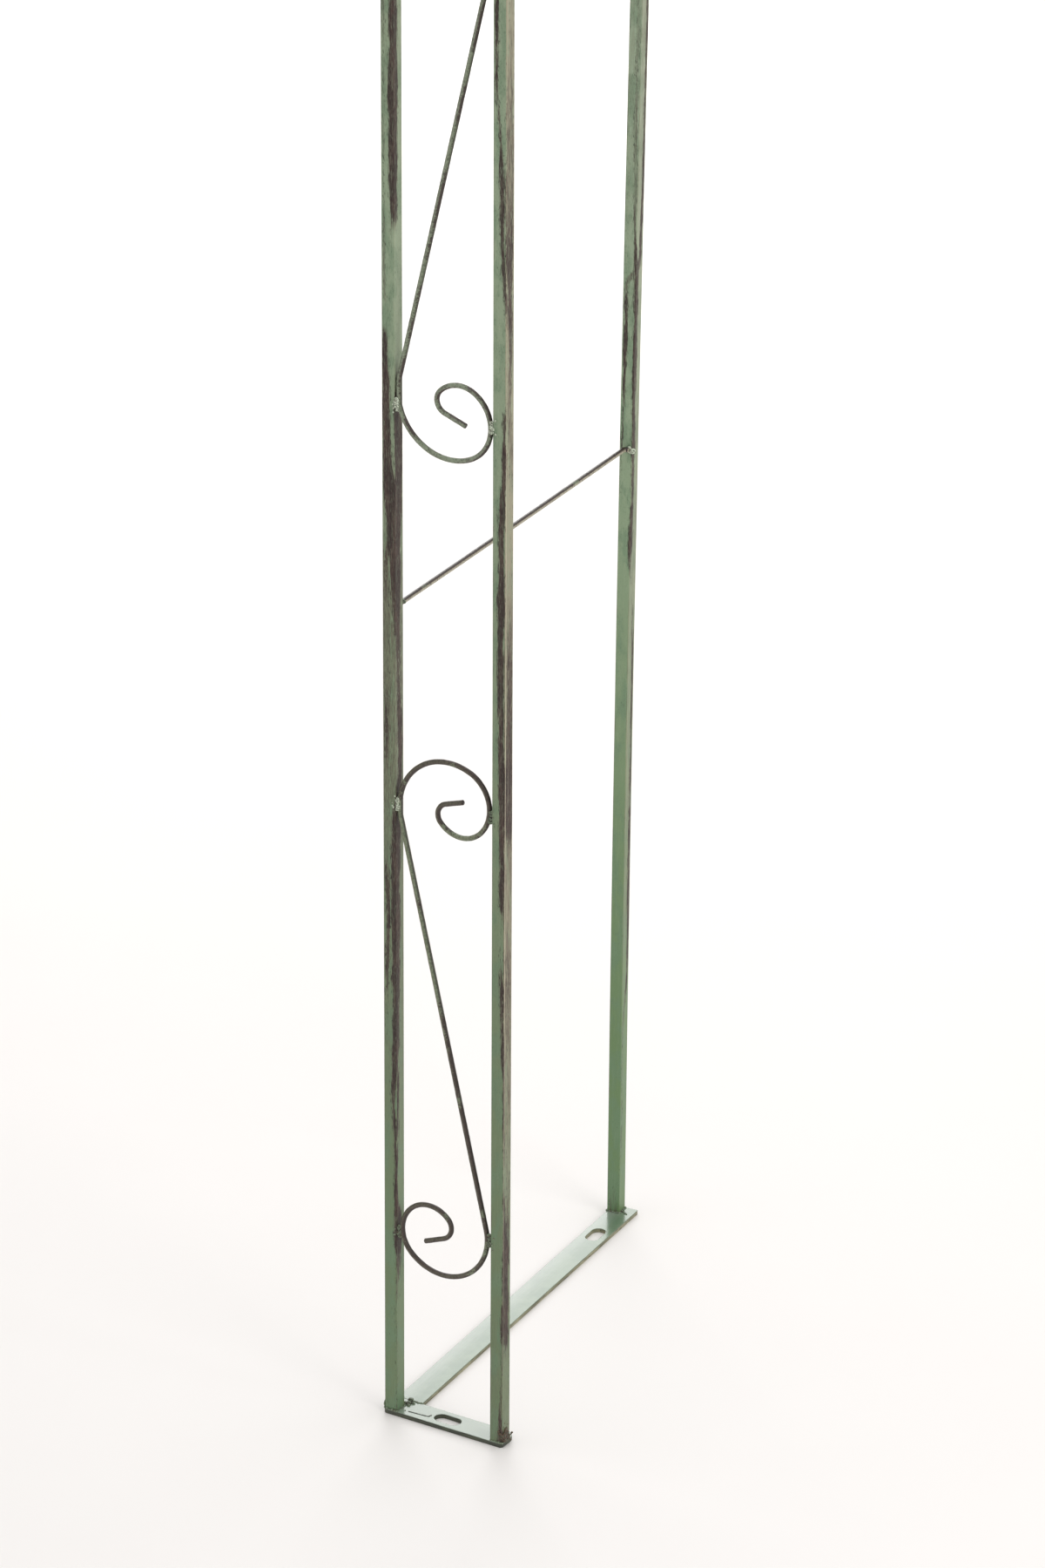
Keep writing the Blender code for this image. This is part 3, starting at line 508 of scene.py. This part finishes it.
# where the patina lies on each upright: height m, left mm, right mm, strength
CORNER_A = [(0.0, -2, 2, .55), (.03, -1.5, 1, .35), (.12, -1.5, 1, .4), (.155, -1, 5, .5),
            (.19, -2, 9, .6), (.22, -4, 11, .97), (.25, -3, 4, .8), (.30, -3, 2, .85),
            (.38, -6, -1, .85), (.42, -6, 6, .75), (.46, -4, 6, .9), (.52, -5, 8, .97),
            (.60, -6, 8, .97), (.66, -5, 9, .97), (.70, -2, 9, .8), (.75, 4, 13, .8),
            (.80, 3, 12, .65), (.86, 2, 9, .6), (.90, -3, 10, .85), (.95, -7, 10, .92),
            (1.0, -10, 11, .88), (1.05, -14, 0, .88), (1.09, -15, -4, .92), (1.15, -15, -5, .95),
            (1.20, -14, -8, .6), (1.25, -8, -2, .2), (1.29, -4, 4, .25), (1.33, -5, 6, .65),
            (1.41, -7, 7, .8), (1.50, -6, 7, .7), (1.7, -6, 6, .6), (1.9, -3, 9, .8),
            (2.1, -6, 5, .6), (2.4, -5, 5, .6)]
CORNER_B = [(0.0, -15, -12, .4), (.1, -14, -12, .2), (.15, 8, 12, .35), (.2, 9, 13, .3),
            (.27, -1, 3, .35), (.31, 0, 4, .75), (.40, 1, 5, .75), (.44, -14, -10, .35),
            (.50, -13, -9, .6), (.58, -12, -6, .65), (.64, -14, -8, .45), (.72, -14, -9, .35),
            (.77, -13, -9, .6), (.85, -14, -7, .4), (.95, -14, -8, .55), (1.0, -2, 13, .7),
            (1.05, 0, 14, .9), (1.12, -1, 14, .85), (1.16, 2, 11, .5), (1.2, 2, 8, .2),
            (1.25, -13, -11, .5), (1.33, -12.5, -11, .5), (1.45, -13, -11, .4), (1.6, -13, -10, .5),
            (1.9, -13, -11, .4), (2.4, -13, -11, .4)]
SIDE_A = [(0.0, -7, 4, .95), (.02, -6, 2, .85), (.05, -4, 0, .55), (.11, -1, 2, .5),
          (.15, -2, 3, .9), (.20, -1, 6, .85), (.30, 0, 3, .65), (.40, -1, 2, .8),
          (.46, -3, 1, .85), (.54, -5, -1, .7), (.59, -4, 0, .3), (.62, -6, 1, .85),
          (.70, -7, 1, .9), (.75, -8, 0, .92), (.80, -9, -1, .97), (.90, -9, -1, .97),
          (1.03, -9, -1, .93), (1.08, -5, 2, .88), (1.14, -4, 1, .65), (1.18, 2, 7, .3),
          (1.24, 0, 6, .5), (1.30, -6, -1, .65), (1.38, -8, -2, .65), (1.43, -9, -5, .65),
          (1.46, -11, -8, .5), (1.50, -13, -9, .85), (1.6, -13, -9, .85), (1.75, -7, 0, .7),
          (1.9, -9, -2, .8), (2.4, -8, -2, .8)]
SIDE_B = [(0.0, 0, 15, .8), (.04, 3, 13, .35), (.09, 5, 14, .35), (.12, 2, 12, .7),
          (.18, 0, 12, .85), (.25, 4, 12, .6), (.35, 6, 13, .4), (.45, 6, 13, .45),
          (.54, 2, 12, .5), (.60, 7, 13, .3), (.68, 4, 13, .5), (.74, 0, 15, .8),
          (.80, 3, 14, .62), (.90, 4, 14, .55), (1.02, 9, 13, .3), (1.1, 5, 14, .5), (1.15, 3, 10, .5),
          (1.2, 6, 12, .6), (1.28, 2, 12, .65), (1.35, -1, 14, .55), (1.45, 0, 13, .5),
          (1.6, 6, 14, .4), (1.9, 3, 13, .6), (2.4, 3, 13, .6)]
REAR_A = [(0.0, -15, 8, .55), (.008, -14, 6, .4), (.03, -12, -6, .35), (.05, 0, 2, .3),
          (.10, 2, 4, .5), (.20, 1, 3, .5), (.27, 7, 10, .7), (.32, 9, 13, .85),
          (.40, 8, 13, .85), (.52, 9, 13, .85), (.60, 9, 13, .8), (.72, 8, 11, .6),
          (.77, 0, 3, .5), (.80, -3, 5, .8), (.83, -2, 6, .92), (.88, 0, 6, .85),
          (.93, -1, 7, .85), (.98, -2, 6, .8), (1.08, -2, 6, .7), (1.15, -4, 0, .65),
          (1.2, -5, -2, .5), (1.4, -6, -3, .45), (1.5, -6, -2, .5), (1.7, -3, 4, .7),
          (1.9, -5, 2, .6), (2.4, -5, 2, .6)]
REAR_B = [(0.0, 9, 13, .3), (.1, 12, 14, .1), (.8, -14, -12, .15), (.88, -14, -12, .35),
          (.92, -13, -11, .7), (.96, -12, -10, .55), (.99, -13, -9, .9), (1.06, -13, -8, .92),
          (1.09, -13, -9, .5), (1.12, 4, 12, .55), (1.2, 8, 13, .7), (1.38, 9, 14, .65),
          (1.5, 8, 14, .65), (1.9, 5, 12, .6), (2.4, 5, 12, .6)]

corner_mat = tube_paint("corner", (CORNER_A, CORNER_B), 1.0, GREEN_LOW, GREEN_HIGH, 0.15,
                        veil=[(0, 0), (.2, .0), (.4, .25), (.6, .3), (.72, .75), (.9, .8), (1.0, .5),
                              (1.15, .1), (1.3, .0), (1.5, .15), (2.4, .3)])
side_mat = tube_paint("side", (SIDE_A, SIDE_B), 2.0, GREEN_LOW, GREEN_HIGH, 0.85,
                      veil=[(0, .35), (.1, .25), (.3, .1), (.6, .15), (.9, .15), (1.2, .05), (2.4, .1)],
                      glint=[(0, 0), (.3, .35), (.45, .55), (.6, .8), (.75, .75), (1.0, .75), (1.1, .25),
                             (1.25, .1), (2.4, .3)])
rear_mat = tube_paint("rear", (REAR_A, REAR_B), 3.0, srgb(106, 134, 90), srgb(164, 181, 154), 0.35,
                      veil=[(0, 0), (.8, .0), (1.1, .1), (1.3, .3), (2.4, .35)])
for node_name, mat in (("corner_upright", corner_mat), ("corner_spire", corner_mat),
                       ("side_upright", side_mat), ("side_bow", bow_paint("paint_side_bow", "side", 2.0)),
                       ("rear_upright", rear_mat), ("rear_bow", bow_paint("paint_rear_bow", "rear", 5.0))):
    assign(node_name, mat)
bar_x = (_lo.x + _hi.x) / 2 * 1000
# the last argument is the span across each bar over which its top is painted pale as painted sheen
assign("short_base_bar", bar_paint("paint_short_bar", False, (srgb(70, 74, 54), srgb(48, 52, 40), srgb(36, 36, 28)), (-400.0, -200.0)))
assign("long_base_bar", bar_paint("paint_long_bar", True, (srgb(156, 152, 122), srgb(122, 120, 92), srgb(70, 66, 50)), (bar_x + 8.0, bar_x - 16.0)))
# the fourth to sixth arguments set each wire's painted highlight: the way it faces, its colour and its strength
lower_mat = rod_paint("paint_lower_scroll", 0.10, 1.0, (-0.7, -0.65, 0.2), srgb(134, 138, 112), 0.75, rise=(0.38, 0.52, 0.66, 0.72))
upper_mat = rod_paint("paint_upper_scroll", 0.60, 2.0, (-0.55, -0.8, 0.2), srgb(146, 156, 134), 0.8)
rung_mat = rod_paint("paint_rungs", 0.20, 3.0, (0.9, -0.1, -0.45), srgb(176, 170, 148), 0.95)
assign("lower_scroll", lower_mat)
assign("upper_scroll", upper_mat)
for n in ("middle_rung", "top_rung", "short_top_rung"):
    assign(n, rung_mat)
weld_mat = weld_paint("paint_weld")
sleeve_mat = plain_steel("plain_steel", srgb(150, 150, 146), 0.35)
for n in nodes:
    if "weld" in n:
        assign(n, weld_mat)
    elif "sleeve" in n or "screw" in n:
        assign(n, sleeve_mat)
assign("ball_finial", ball_paint("paint_finial", 1.0))

# ------------------------------------------------------------ mesh helpers
def piece(name, bm, mat, *replaced, slot):
    mesh = bpy.data.meshes.new(name)
    bmesh.ops.recalc_face_normals(bm, faces=bm.faces[:])
    bm.to_mesh(mesh)
    bm.free()
    mesh.shade_smooth()
    ob = bpy.data.objects.new(name, mesh)
    bpy.context.scene.collection.objects.link(ob)
    mesh.materials.append(mat)
    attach(ob, "root")
    if replaced:
        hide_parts(*replaced)
    return ob


def resample(path, step):
    out = [path[0]]
    for p, q in zip(path, path[1:]):
        n = max(1, round((q - p).length / step))
        out += [p.lerp(q, i / n) for i in range(1, n + 1)]
    return out


def wire(name, path, radius, mat, *replaced, seed=0.0, sides=20, step=0.0022, ripple=0.045):
    """Round bar swept along a path, a little uneven as bent bar is, its ends
    cropped flat with a slightly rounded rim."""
    pts = resample(path, step)
    count = len(pts)
    bm = bmesh.new()
    t0 = (pts[1] - pts[0]).normalized()
    side = t0.orthogonal().normalized()
    rings = []
    for i, p in enumerate(pts):
        t = (pts[min(i + 1, count - 1)] - pts[max(i - 1, 0)]).normalized()
        side = (side - t * side.dot(t)).normalized()
        up = t.cross(side)
        ends = [(0.0, radius)]
        if i == 0:
            ends = [(0.0, radius * 0.86), (radius * 0.16, radius)]
        elif i == count - 1:
            ends = [(-radius * 0.16, radius), (0.0, radius * 0.86)]
        for along, rr in ends:
            ring = []
            for k in range(sides):
                ang = 2 * math.pi * k / sides
                d = side * math.cos(ang) + up * math.sin(ang)
                c = p + t * along
                w = 1 + ripple * noise.noise((c + d * radius) * 260.0 + Vector((seed, 0, 0)))
                w += ripple * 0.5 * noise.noise((c + d * radius) * 900.0 + Vector((0, seed, 0)))
                ring.append(bm.verts.new(c + d * rr * w))
            rings.append(ring)
    for r0, r1 in zip(rings, rings[1:]):
        for k in range(sides):
            bm.faces.new((r0[k], r0[(k + 1) % sides], r1[(k + 1) % sides], r1[k]))
    bm.faces.new(rings[0][::-1])
    bm.faces.new(rings[-1])
    return piece(name, bm, mat, *replaced, slot="wire_paint")


def scroll_end(tip, heading, stub, bends):
    x, z = tip
    a = math.radians(heading)
    pts = [(x, z)]
    x += stub * math.cos(a)
    z += stub * math.sin(a)
    pts.append((x, z))
    for radius, angle in bends:
        cx, cz = x - radius * math.sin(a), z + radius * math.cos(a)
        n = max(6, round(angle / 2.6))
        for i in range(1, n + 1):
            b = a + math.radians(angle) * i / n
            pts.append((cx + radius * math.sin(b), cz - radius * math.cos(b)))
        x, z = pts[-1]
        a += math.radians(angle)
    return pts


def in_panel(pts):
    reach = TUBE / 2 + ROD / 2 + GAP
    out = []
    for x, z in pts:
        left = bowed("corner", z).x + reach
        right = bowed("side", z).x - reach
        out.append(PANEL @ Vector((min(max(x, left), right), SCROLL_Y, z)))
    return out


low_end = scroll_end((0.0402, 0.2125), 21.5, 0.0245,
                     ((0.0146, 113.0), (0.0320, 92.0), (0.0359, 89.0), (0.0548, 147.5)))
high_end = scroll_end((0.0449, 0.2196), 17.4, 0.0220,
                      ((0.0134, 113.5), (0.0321, 96.5), (0.0396, 109.0), (0.0597, 127.0)))
two_end = scroll_end((0.0427, 0.2183), 19.5, 0.0267,
                     ((0.0136, 115.5), (0.0324, 74.5), (0.0394, 127.0), (0.0606, 126.5)))
lower_path = in_panel(low_end + [(SPAN_SHORT - x, 0.938 - z) for x, z in high_end][::-1])
upper_path = in_panel([(SPAN_SHORT - x, 0.903 + z) for x, z in two_end]
                      + [(x, 1.840 - z) for x, z in low_end][::-1])
wire("wire_lower_scroll", lower_path, ROD / 2, lower_mat, "lower_scroll", seed=3.0)
wire("wire_upper_scroll", upper_path, ROD / 2, upper_mat, "upper_scroll", seed=8.0)


def rung_path(z, drop):
    """From the back of the corner upright to the rear upright; the far end of
    the wire turns level just before it meets the tube."""
    a, b = bowed("corner", z), bowed("rear", z)
    start = Vector((a.x + RUNG_X + 0.0010, a.y + TUBE / 2 + GAP + 0.0006, z))
    wall = b.y - TUBE / 2 - GAP - ROD / 2 - 0.0003
    end = Vector((b.x + RUNG_X - 0.0040, wall - 0.0040, z))
    path = []
    for i in range(41):
        s = i / 40
        p = start.lerp(end, s)
        p.z -= drop * math.sin(math.pi * s)
        path.append(LONG @ p)
    # the last few millimetres turn to run along the face of the tube
    for i in range(1, 9):
        a = math.radians(90 * i / 8)
        path.append(LONG @ Vector((end.x + 0.0036 * (1 - math.cos(a)), end.y + 0.0040 * math.sin(a), z)))
    path.append(LONG @ Vector((end.x + 0.0052, wall, z)))
    return path


wire("wire_middle_rung", rung_path(0.913, 0.0006), ROD / 2, rung_mat, "middle_rung", seed=12.0)
wire("wire_top_rung", rung_path(1.790, 0.0004), ROD / 2, rung_mat, "top_rung", seed=17.0)


def fused(name, blobs, mat, *replaced, voxel=0.0004, rough=0.0003, seed=0.0, slot="weld_bead"):
    """Lumps of weld metal melted into one another: (centre, radii) ellipsoids
    in the row frame, joined, then pitted and rippled."""
    bm = bmesh.new()
    for centre, radii in blobs:
        if not isinstance(radii, (tuple, list)):
            radii = (radii,) * 3
        bmesh.ops.create_icosphere(bm, subdivisions=3, radius=1.0,
                                   matrix=Matrix.Translation(centre) @ Matrix.Diagonal((*radii, 1.0)))
    mesh = bpy.data.meshes.new(name + "_raw")
    bm.to_mesh(mesh)
    bm.free()
    temp = bpy.data.objects.new(name + "_raw", mesh)
    bpy.context.scene.collection.objects.link(temp)
    mod = temp.modifiers.new("melt", "REMESH")
    mod.mode = "VOXEL"
    mod.voxel_size = voxel
    soft = temp.modifiers.new("soft", "SMOOTH")
    soft.factor = 0.5
    soft.iterations = 2
    deps = bpy.context.evaluated_depsgraph_get()
    done = bpy.data.meshes.new_from_object(temp.evaluated_get(deps))
    bpy.data.objects.remove(temp, do_unlink=True)
    bpy.data.meshes.remove(mesh)
    bm = bmesh.new()
    bm.from_mesh(done)
    bpy.data.meshes.remove(done)
    bm.normal_update()
    shift = Vector((seed, seed * 0.7, seed * 1.3))
    for v in bm.verts:
        n = noise.noise(v.co * 420.0 + shift) + 0.6 * noise.noise(v.co * 950.0 + shift)
        v.co += v.normal * rough * n
    return piece(name, bm, mat, *replaced, slot=slot)


def at(space, x, y, z):
    return SPACES[space] @ Vector((x, y, z))


def bead_ring(space, x, y, z, half, thick, count, rng, high=0.0):
    """Small overlapping blobs round the foot of a square tube."""
    blobs = []
    for i in range(count):
        s = (i + rng.uniform(-0.3, 0.3)) / count * 4.0
        k, t = int(s) % 4, (s % 1.0) * 2 - 1
        dx, dy = ((t, -1), (1, t), (-t, 1), (-1, -t))[k]
        r = thick * rng.uniform(0.75, 1.3)
        blobs.append((at(space, x + dx * half, y + dy * half, z + r * rng.uniform(0.1, 0.5) + high * rng.random()),
                      (r, r, r * rng.uniform(0.7, 1.15))))
    return blobs


def spatter(space, x, y, z, spread, count, size, rng, face):
    """Droplets thrown on a face of a tube: face is the axis they sit off."""
    out = []
    for i in range(count):
        a = rng.uniform(-1, 1) * spread
        b = rng.uniform(-1, 1) * spread
        r = size * rng.uniform(0.35, 1.0)
        if face == "x":
            p = (x, y + a * 0.6, z + b)
        elif face == "y":
            p = (x + a * 0.6, y, z + b)
        else:
            p = (x + a, y + b, z)
        out.append((at(space, *p), (r, r, r * 0.8)))
    return out


rng = random.Random(11)
FLOOR_BAR = 0.005
# corner foot: a bead all round, heaped up the outer left side
blobs = bead_ring("corner", 0, 0, FLOOR_BAR, 0.0082, 0.0011, 44, rng)
for i in range(9):
    k = i / 8
    blobs.append((at("corner", -0.0083, -0.0062 + 0.0080 * k, FLOOR_BAR + 0.0012 + 0.0068 * math.sin(math.pi * (0.15 + 0.6 * k))),
                  (0.0010, 0.0019, 0.0030)))
blobs += spatter("corner", 0.0100, -0.0060, FLOOR_BAR + 0.0002, 0.006, 7, 0.0009, rng, "z")
fused("bead_corner_foot", blobs, weld_mat, "foot_weld_corner", seed=1.0)
# side foot
blobs = bead_ring("side", SPAN_SHORT, 0, FLOOR_BAR, 0.0078, 0.0009, 40, rng)
fused("bead_side_foot", blobs, weld_mat, "foot_weld_side", seed=2.0)
# the big untidy lump on the outer face of the side upright
X = SPAN_SHORT + TUBE / 2
blobs = [(at("side", X + 0.0006, -0.0010, 0.0130), (0.0026, 0.0058, 0.0052)),
         (at("side", X + 0.0008, -0.0046, 0.0090), (0.0028, 0.0030, 0.0036)),
         (at("side", X + 0.0006, 0.0030, 0.0085), (0.0024, 0.0036, 0.0030)),
         (at("side", X - 0.0006, -0.0072, 0.0120), (0.0030, 0.0016, 0.0034)),
         (at("side", X - 0.0024, -0.0080, 0.0150), (0.0022, 0.0010, 0.0022)),
         (at("side", X - 0.0040, -0.0080, 0.0175), (0.0016, 0.0008, 0.0020)),
         (at("side", X + 0.0004, 0.0002, 0.0190), (0.0012, 0.0030, 0.0018)),
         (at("side", X + 0.0016, 0.0018, 0.0120), (0.0018, 0.0022, 0.0022)),
         (at("side", X + 0.0018, -0.0026, 0.0066), (0.0016, 0.0026, 0.0016))]
# burrs of spatter that stick out past the end of the bar
for a, b, r in (((X + 0.0018, 0.0040, 0.0098), (X + 0.0038, 0.0058, 0.0128), 0.0009),
                ((X + 0.0016, 0.0030, 0.0062), (X + 0.0034, 0.0046, 0.0050), 0.0008)):
    for i in range(6):
        k = i / 5
        q = [a[j] + (b[j] - a[j]) * k for j in range(3)]
        rr = r * (0.75 + (0.55 if i == 5 else 0.0) + 0.15 * rng.random())
        blobs.append((at("side", *q), (rr, rr, rr)))
blobs += spatter("side", X + 0.0001, 0.0, 0.020, 0.008, 10, 0.0007, rng, "x")
pale_mat = weld_paint("paint_pale_weld", pit=srgb(56, 58, 44), crown_color=srgb(204, 214, 192), crest=(0.42, 0.50), fleck=(0.43, 0.53, 0.2))
rust_mat = weld_paint("paint_rusty_weld", rusty=1.0, pit=srgb(36, 30, 24), crown_color=srgb(120, 118, 92))
fused("lump_side_foot", blobs, rust_mat, "foot_weld_side_lump", seed=3.0, rough=0.0006)
# rear foot: a tight dark bead, with a run of weld on the bar beside it
blobs = bead_ring("rear", 0, SPAN_LONG, FLOOR_BAR, 0.0080, 0.0011, 44, rng)
for i in range(6):
    blobs.append((at("rear", 0.0100 + 0.0012 * i, SPAN_LONG - 0.0030 - 0.0006 * i, FLOOR_BAR + 0.0002),
                  (0.0013, 0.0012, 0.0009)))
blobs += spatter("rear", -0.001, SPAN_LONG - 0.0080, 0.012, 0.007, 4, 0.0008, rng, "y")
fused("bead_rear_foot", blobs, weld_mat, "foot_weld_rear", seed=4.0)
# where the two base bars meet, beside the corner upright
blobs = [(at("corner", 0.0084, 0.0186, 0.0062), (0.0036, 0.0030, 0.0034)),
         (at("corner", 0.0086, 0.0130, 0.0058), (0.0030, 0.0030, 0.0024)),
         (at("corner", 0.0110, 0.0100, 0.0054), (0.0020, 0.0024, 0.0016)),
         (at("corner", 0.0128, 0.0160, 0.0054), (0.0022, 0.0020, 0.0015)),
         (at("corner", 0.0160, 0.0200, 0.0052), (0.0030, 0.0010, 0.0009)),
         (at("corner", 0.0060, 0.0110, 0.0060), (0.0020, 0.0020, 0.0022))]
for i in range(14):
    blobs.append((at("corner", 0.010 + 0.0009 * i, 0.0207 + rng.uniform(-0.0004, 0.0004), 0.0050),
                  (0.0009, 0.0008, 0.0006 + 0.0003 * rng.random())))
blobs += spatter("corner", 0.0150, 0.0125, 0.0051, 0.0055, 9, 0.0007, rng, "z")
fused("bead_bar_joint", blobs, weld_mat, "bar_joint_weld", seed=5.0, rough=0.0005)

# a thin run of weld along the short bar, hooked back at its far end
blobs = []
for i in range(34):
    k = i / 33
    if k < 0.84:
        q = (0.0180 + 0.0235 * k / 0.84, -0.0012 + 0.0016 * k / 0.84 + rng.uniform(-0.0002, 0.0002))
    else:
        w = (k - 0.84) / 0.16
        q = (0.0415 + 0.0012 * math.sin(math.pi * w / 2), 0.0004 + 0.0040 * w)
    r = 0.00055 + 0.00025 * rng.random()
    blobs.append((at("corner", q[0], q[1], FLOOR_BAR + 0.0001), (r * 1.4, r, r * 0.7)))
dark_mat = weld_paint("paint_dark_run", pit=srgb(30, 30, 24), crown_color=srgb(74, 80, 62))
fused("run_short_bar", blobs, dark_mat, seed=6.0, voxel=0.0003, rough=0.0001)

# beads where the scrolls touch the uprights
for node_name, label, path, z in (
        ("weld_lower_scroll_foot", "corner", lower_path, 0.2160),
        ("weld_lower_scroll_side", "side", lower_path, 0.2360),
        ("weld_lower_scroll_head", "corner", lower_path, 0.7000),
        ("weld_lower_scroll_head_side", "side", lower_path, 0.7110),
        ("weld_upper_scroll_foot", "corner", upper_path, 1.1290),
        ("weld_upper_scroll_side", "side", upper_path, 1.1270),
        ("weld_upper_scroll_head", "corner", upper_path, 1.6240),
        ("weld_upper_scroll_head_side", "side", upper_path, 1.6040)):
    inward = 1 if label == "corner" else -1
    face = bowed(label, z).x + inward * TUBE / 2
    blobs = []
    for i in range(7):
        dz = (i - 3) * 0.0019 + rng.uniform(-0.0006, 0.0006)
        near = min(path, key=lambda p: abs(p.z - (z + dz)) + 0.2 * abs((PANEL.inverted() @ p).x - face))
        rod_x = (PANEL.inverted() @ near).x
        mid = (face + rod_x) / 2
        r = rng.uniform(0.0015, 0.0024)
        blobs.append((at(label, mid + rng.uniform(-0.0012, 0.0004) * inward, SCROLL_Y - 0.0019 + rng.uniform(-0.0008, 0.0004), z + dz),
                      (r * 1.35, r, r * 1.1)))
    for i in range(4):
        r = rng.uniform(0.0006, 0.0011)
        blobs.append((at(label, face - inward * rng.uniform(0.0004, 0.0040), -0.0076, z + rng.uniform(-0.009, 0.009)),
                      (r * 1.2, r * 0.7, r * 1.4)))
    mat = pale_mat if node_name in ("weld_lower_scroll_head", "weld_upper_scroll_foot", "weld_upper_scroll_side") else weld_mat
    fused("bead" + node_name[4:], blobs, mat, node_name, seed=rng.uniform(5, 50), rough=0.0004)

# beads under the bows, where they run into the spire
spire_lo, spire_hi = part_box("corner_spire")
spire = ((spire_lo.x + spire_hi.x) / 2, (spire_lo.y + spire_hi.y) / 2)
for label, direction in (("rear", LONG.to_3x3() @ Vector((0, 1, 0))), ("side", PANEL.to_3x3() @ Vector((1, 0, 0)))):
    bow_lo, bow_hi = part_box(label + "_bow")
    across = Vector((-direction.y, direction.x, 0))
    z = bow_hi.z
    blobs = []
    for i in range(17):
        k = i / 16 * 2 - 1
        r = rng.uniform(0.0010, 0.0017)
        c = Vector((spire[0], spire[1], z + 0.0008)) + direction * (TUBE / 2 + 0.0006) + across * (TUBE / 2 * k)
        blobs.append((c, (r * 1.3, r * 1.3, r)))
    fused("bead_%s_bow" % label, blobs, weld_mat, seed=rng.uniform(5, 50))

# beads at the ends of the two long rungs
for label, z in (("middle", 0.913), ("top", 1.790)):
    path = rung_path(z, 0.0)
    tail = path[-1] + Vector((0.0004, ROD / 2, 0))
    for end, p, along in (("corner", path[0], Vector((0, 1, 0))), ("rear", tail, Vector((0, -1, 0)))):
        blobs = []
        for i in range(10):
            a = rng.uniform(0, 2 * math.pi)
            off = Vector((math.cos(a), 0, math.sin(a))) * rng.uniform(0.0010, 0.0030)
            r = rng.uniform(0.0012, 0.0019)
            if end == "rear":
                off = Vector((rng.uniform(-0.0010, 0.0046), 0, rng.uniform(-0.0044, 0.0026)))
                r = rng.uniform(0.0015, 0.0024)
            blobs.append((p + off + along * rng.uniform(0.0000, 0.0018), (r * 1.2, r * 0.8, r)))
        fused("bead_%s_rung_%s" % (label, end), blobs, pale_mat if end == "rear" else weld_mat,
              "weld_%s_rung_%s" % (label, end), seed=rng.uniform(5, 50))

# ------------------------------------------------------------------- stage
bpy.ops.mesh.primitive_plane_add(size=60, location=(0, 0, 0))
floor = bpy.context.active_object
floor.name = "floor"
t = Tree("floor_paint")
p = t.node("ShaderNodeTexCoord").outputs["Object"]
soft = t.noise(p, 2.2, 3.0, 0.55)
t.put(t.bsdf.inputs["Base Color"], t.mix(soft, (0.882, 0.850, 0.826), (0.915, 0.885, 0.862)))
t.bsdf.inputs["Roughness"].default_value = 0.55
t.bsdf.inputs["Specular IOR Level"].default_value = 0.2
floor.data.materials.append(t.mat)

world = bpy.data.worlds.new("studio")
bpy.context.scene.world = world
world.use_nodes = True
bg = world.node_tree.nodes["Background"]
bg.inputs[0].default_value = (1.0, 1.0, 1.0, 1.0)
bg.inputs[1].default_value = 0.66


def area(name, loc, target, size, power, color=(1, 1, 1)):
    data = bpy.data.lights.new(name, "AREA")
    data.shape = "RECTANGLE"
    data.size, data.size_y = size
    data.energy = power
    data.color = color
    ob = bpy.data.objects.new(name, data)
    bpy.context.scene.collection.objects.link(ob)
    ob.location = loc
    ob.rotation_euler = (Vector(target) - Vector(loc)).to_track_quat("-Z", "Y").to_euler()
    return ob


area("key_right", (4.2, -1.2, 2.6), (0.0, 0.0, 0.9), (2.6, 2.6), 60)
area("overhead", (0.0, 1.0, 4.4), (0.0, 1.0, 0.0), (5.0, 5.0), 60)
# low softbox behind the object: its mirror image is the sheen on the flat bars
area("back_sheen", (-2.6, 4.95, 2.42), (0.0, 0.0, 0.1), (3.6, 2.4), 100)

# ------------------------------------------------------------------ camera
cam_data = bpy.data.cameras.new("camera")
cam_data.sensor_fit = "AUTO"
cam_data.sensor_width = 36.0
cam_data.lens = 159.03
cam_data.clip_end = 100.0
cam = bpy.data.objects.new("camera", cam_data)
bpy.context.scene.collection.objects.link(cam)
YAW, PITCH, ROLL = -0.473200, 0.405646, 0.006189
f = Vector((math.cos(PITCH) * math.sin(YAW), math.cos(PITCH) * math.cos(YAW), -math.sin(PITCH)))
r = Vector((math.cos(YAW), -math.sin(YAW), 0.0))
u = r.cross(f)
r, u = r * math.cos(ROLL) + u * math.sin(ROLL), -r * math.sin(ROLL) + u * math.cos(ROLL)
place = ORIGIN + Vector((3.049203, -5.669523, 3.482659))
m = Matrix((r, u, -f)).transposed().to_4x4()
m.translation = place
cam.matrix_world = m
bpy.context.scene.camera = cam
bpy.context.scene.view_settings.view_transform = "Standard"
bpy.context.scene.view_settings.look = "None"
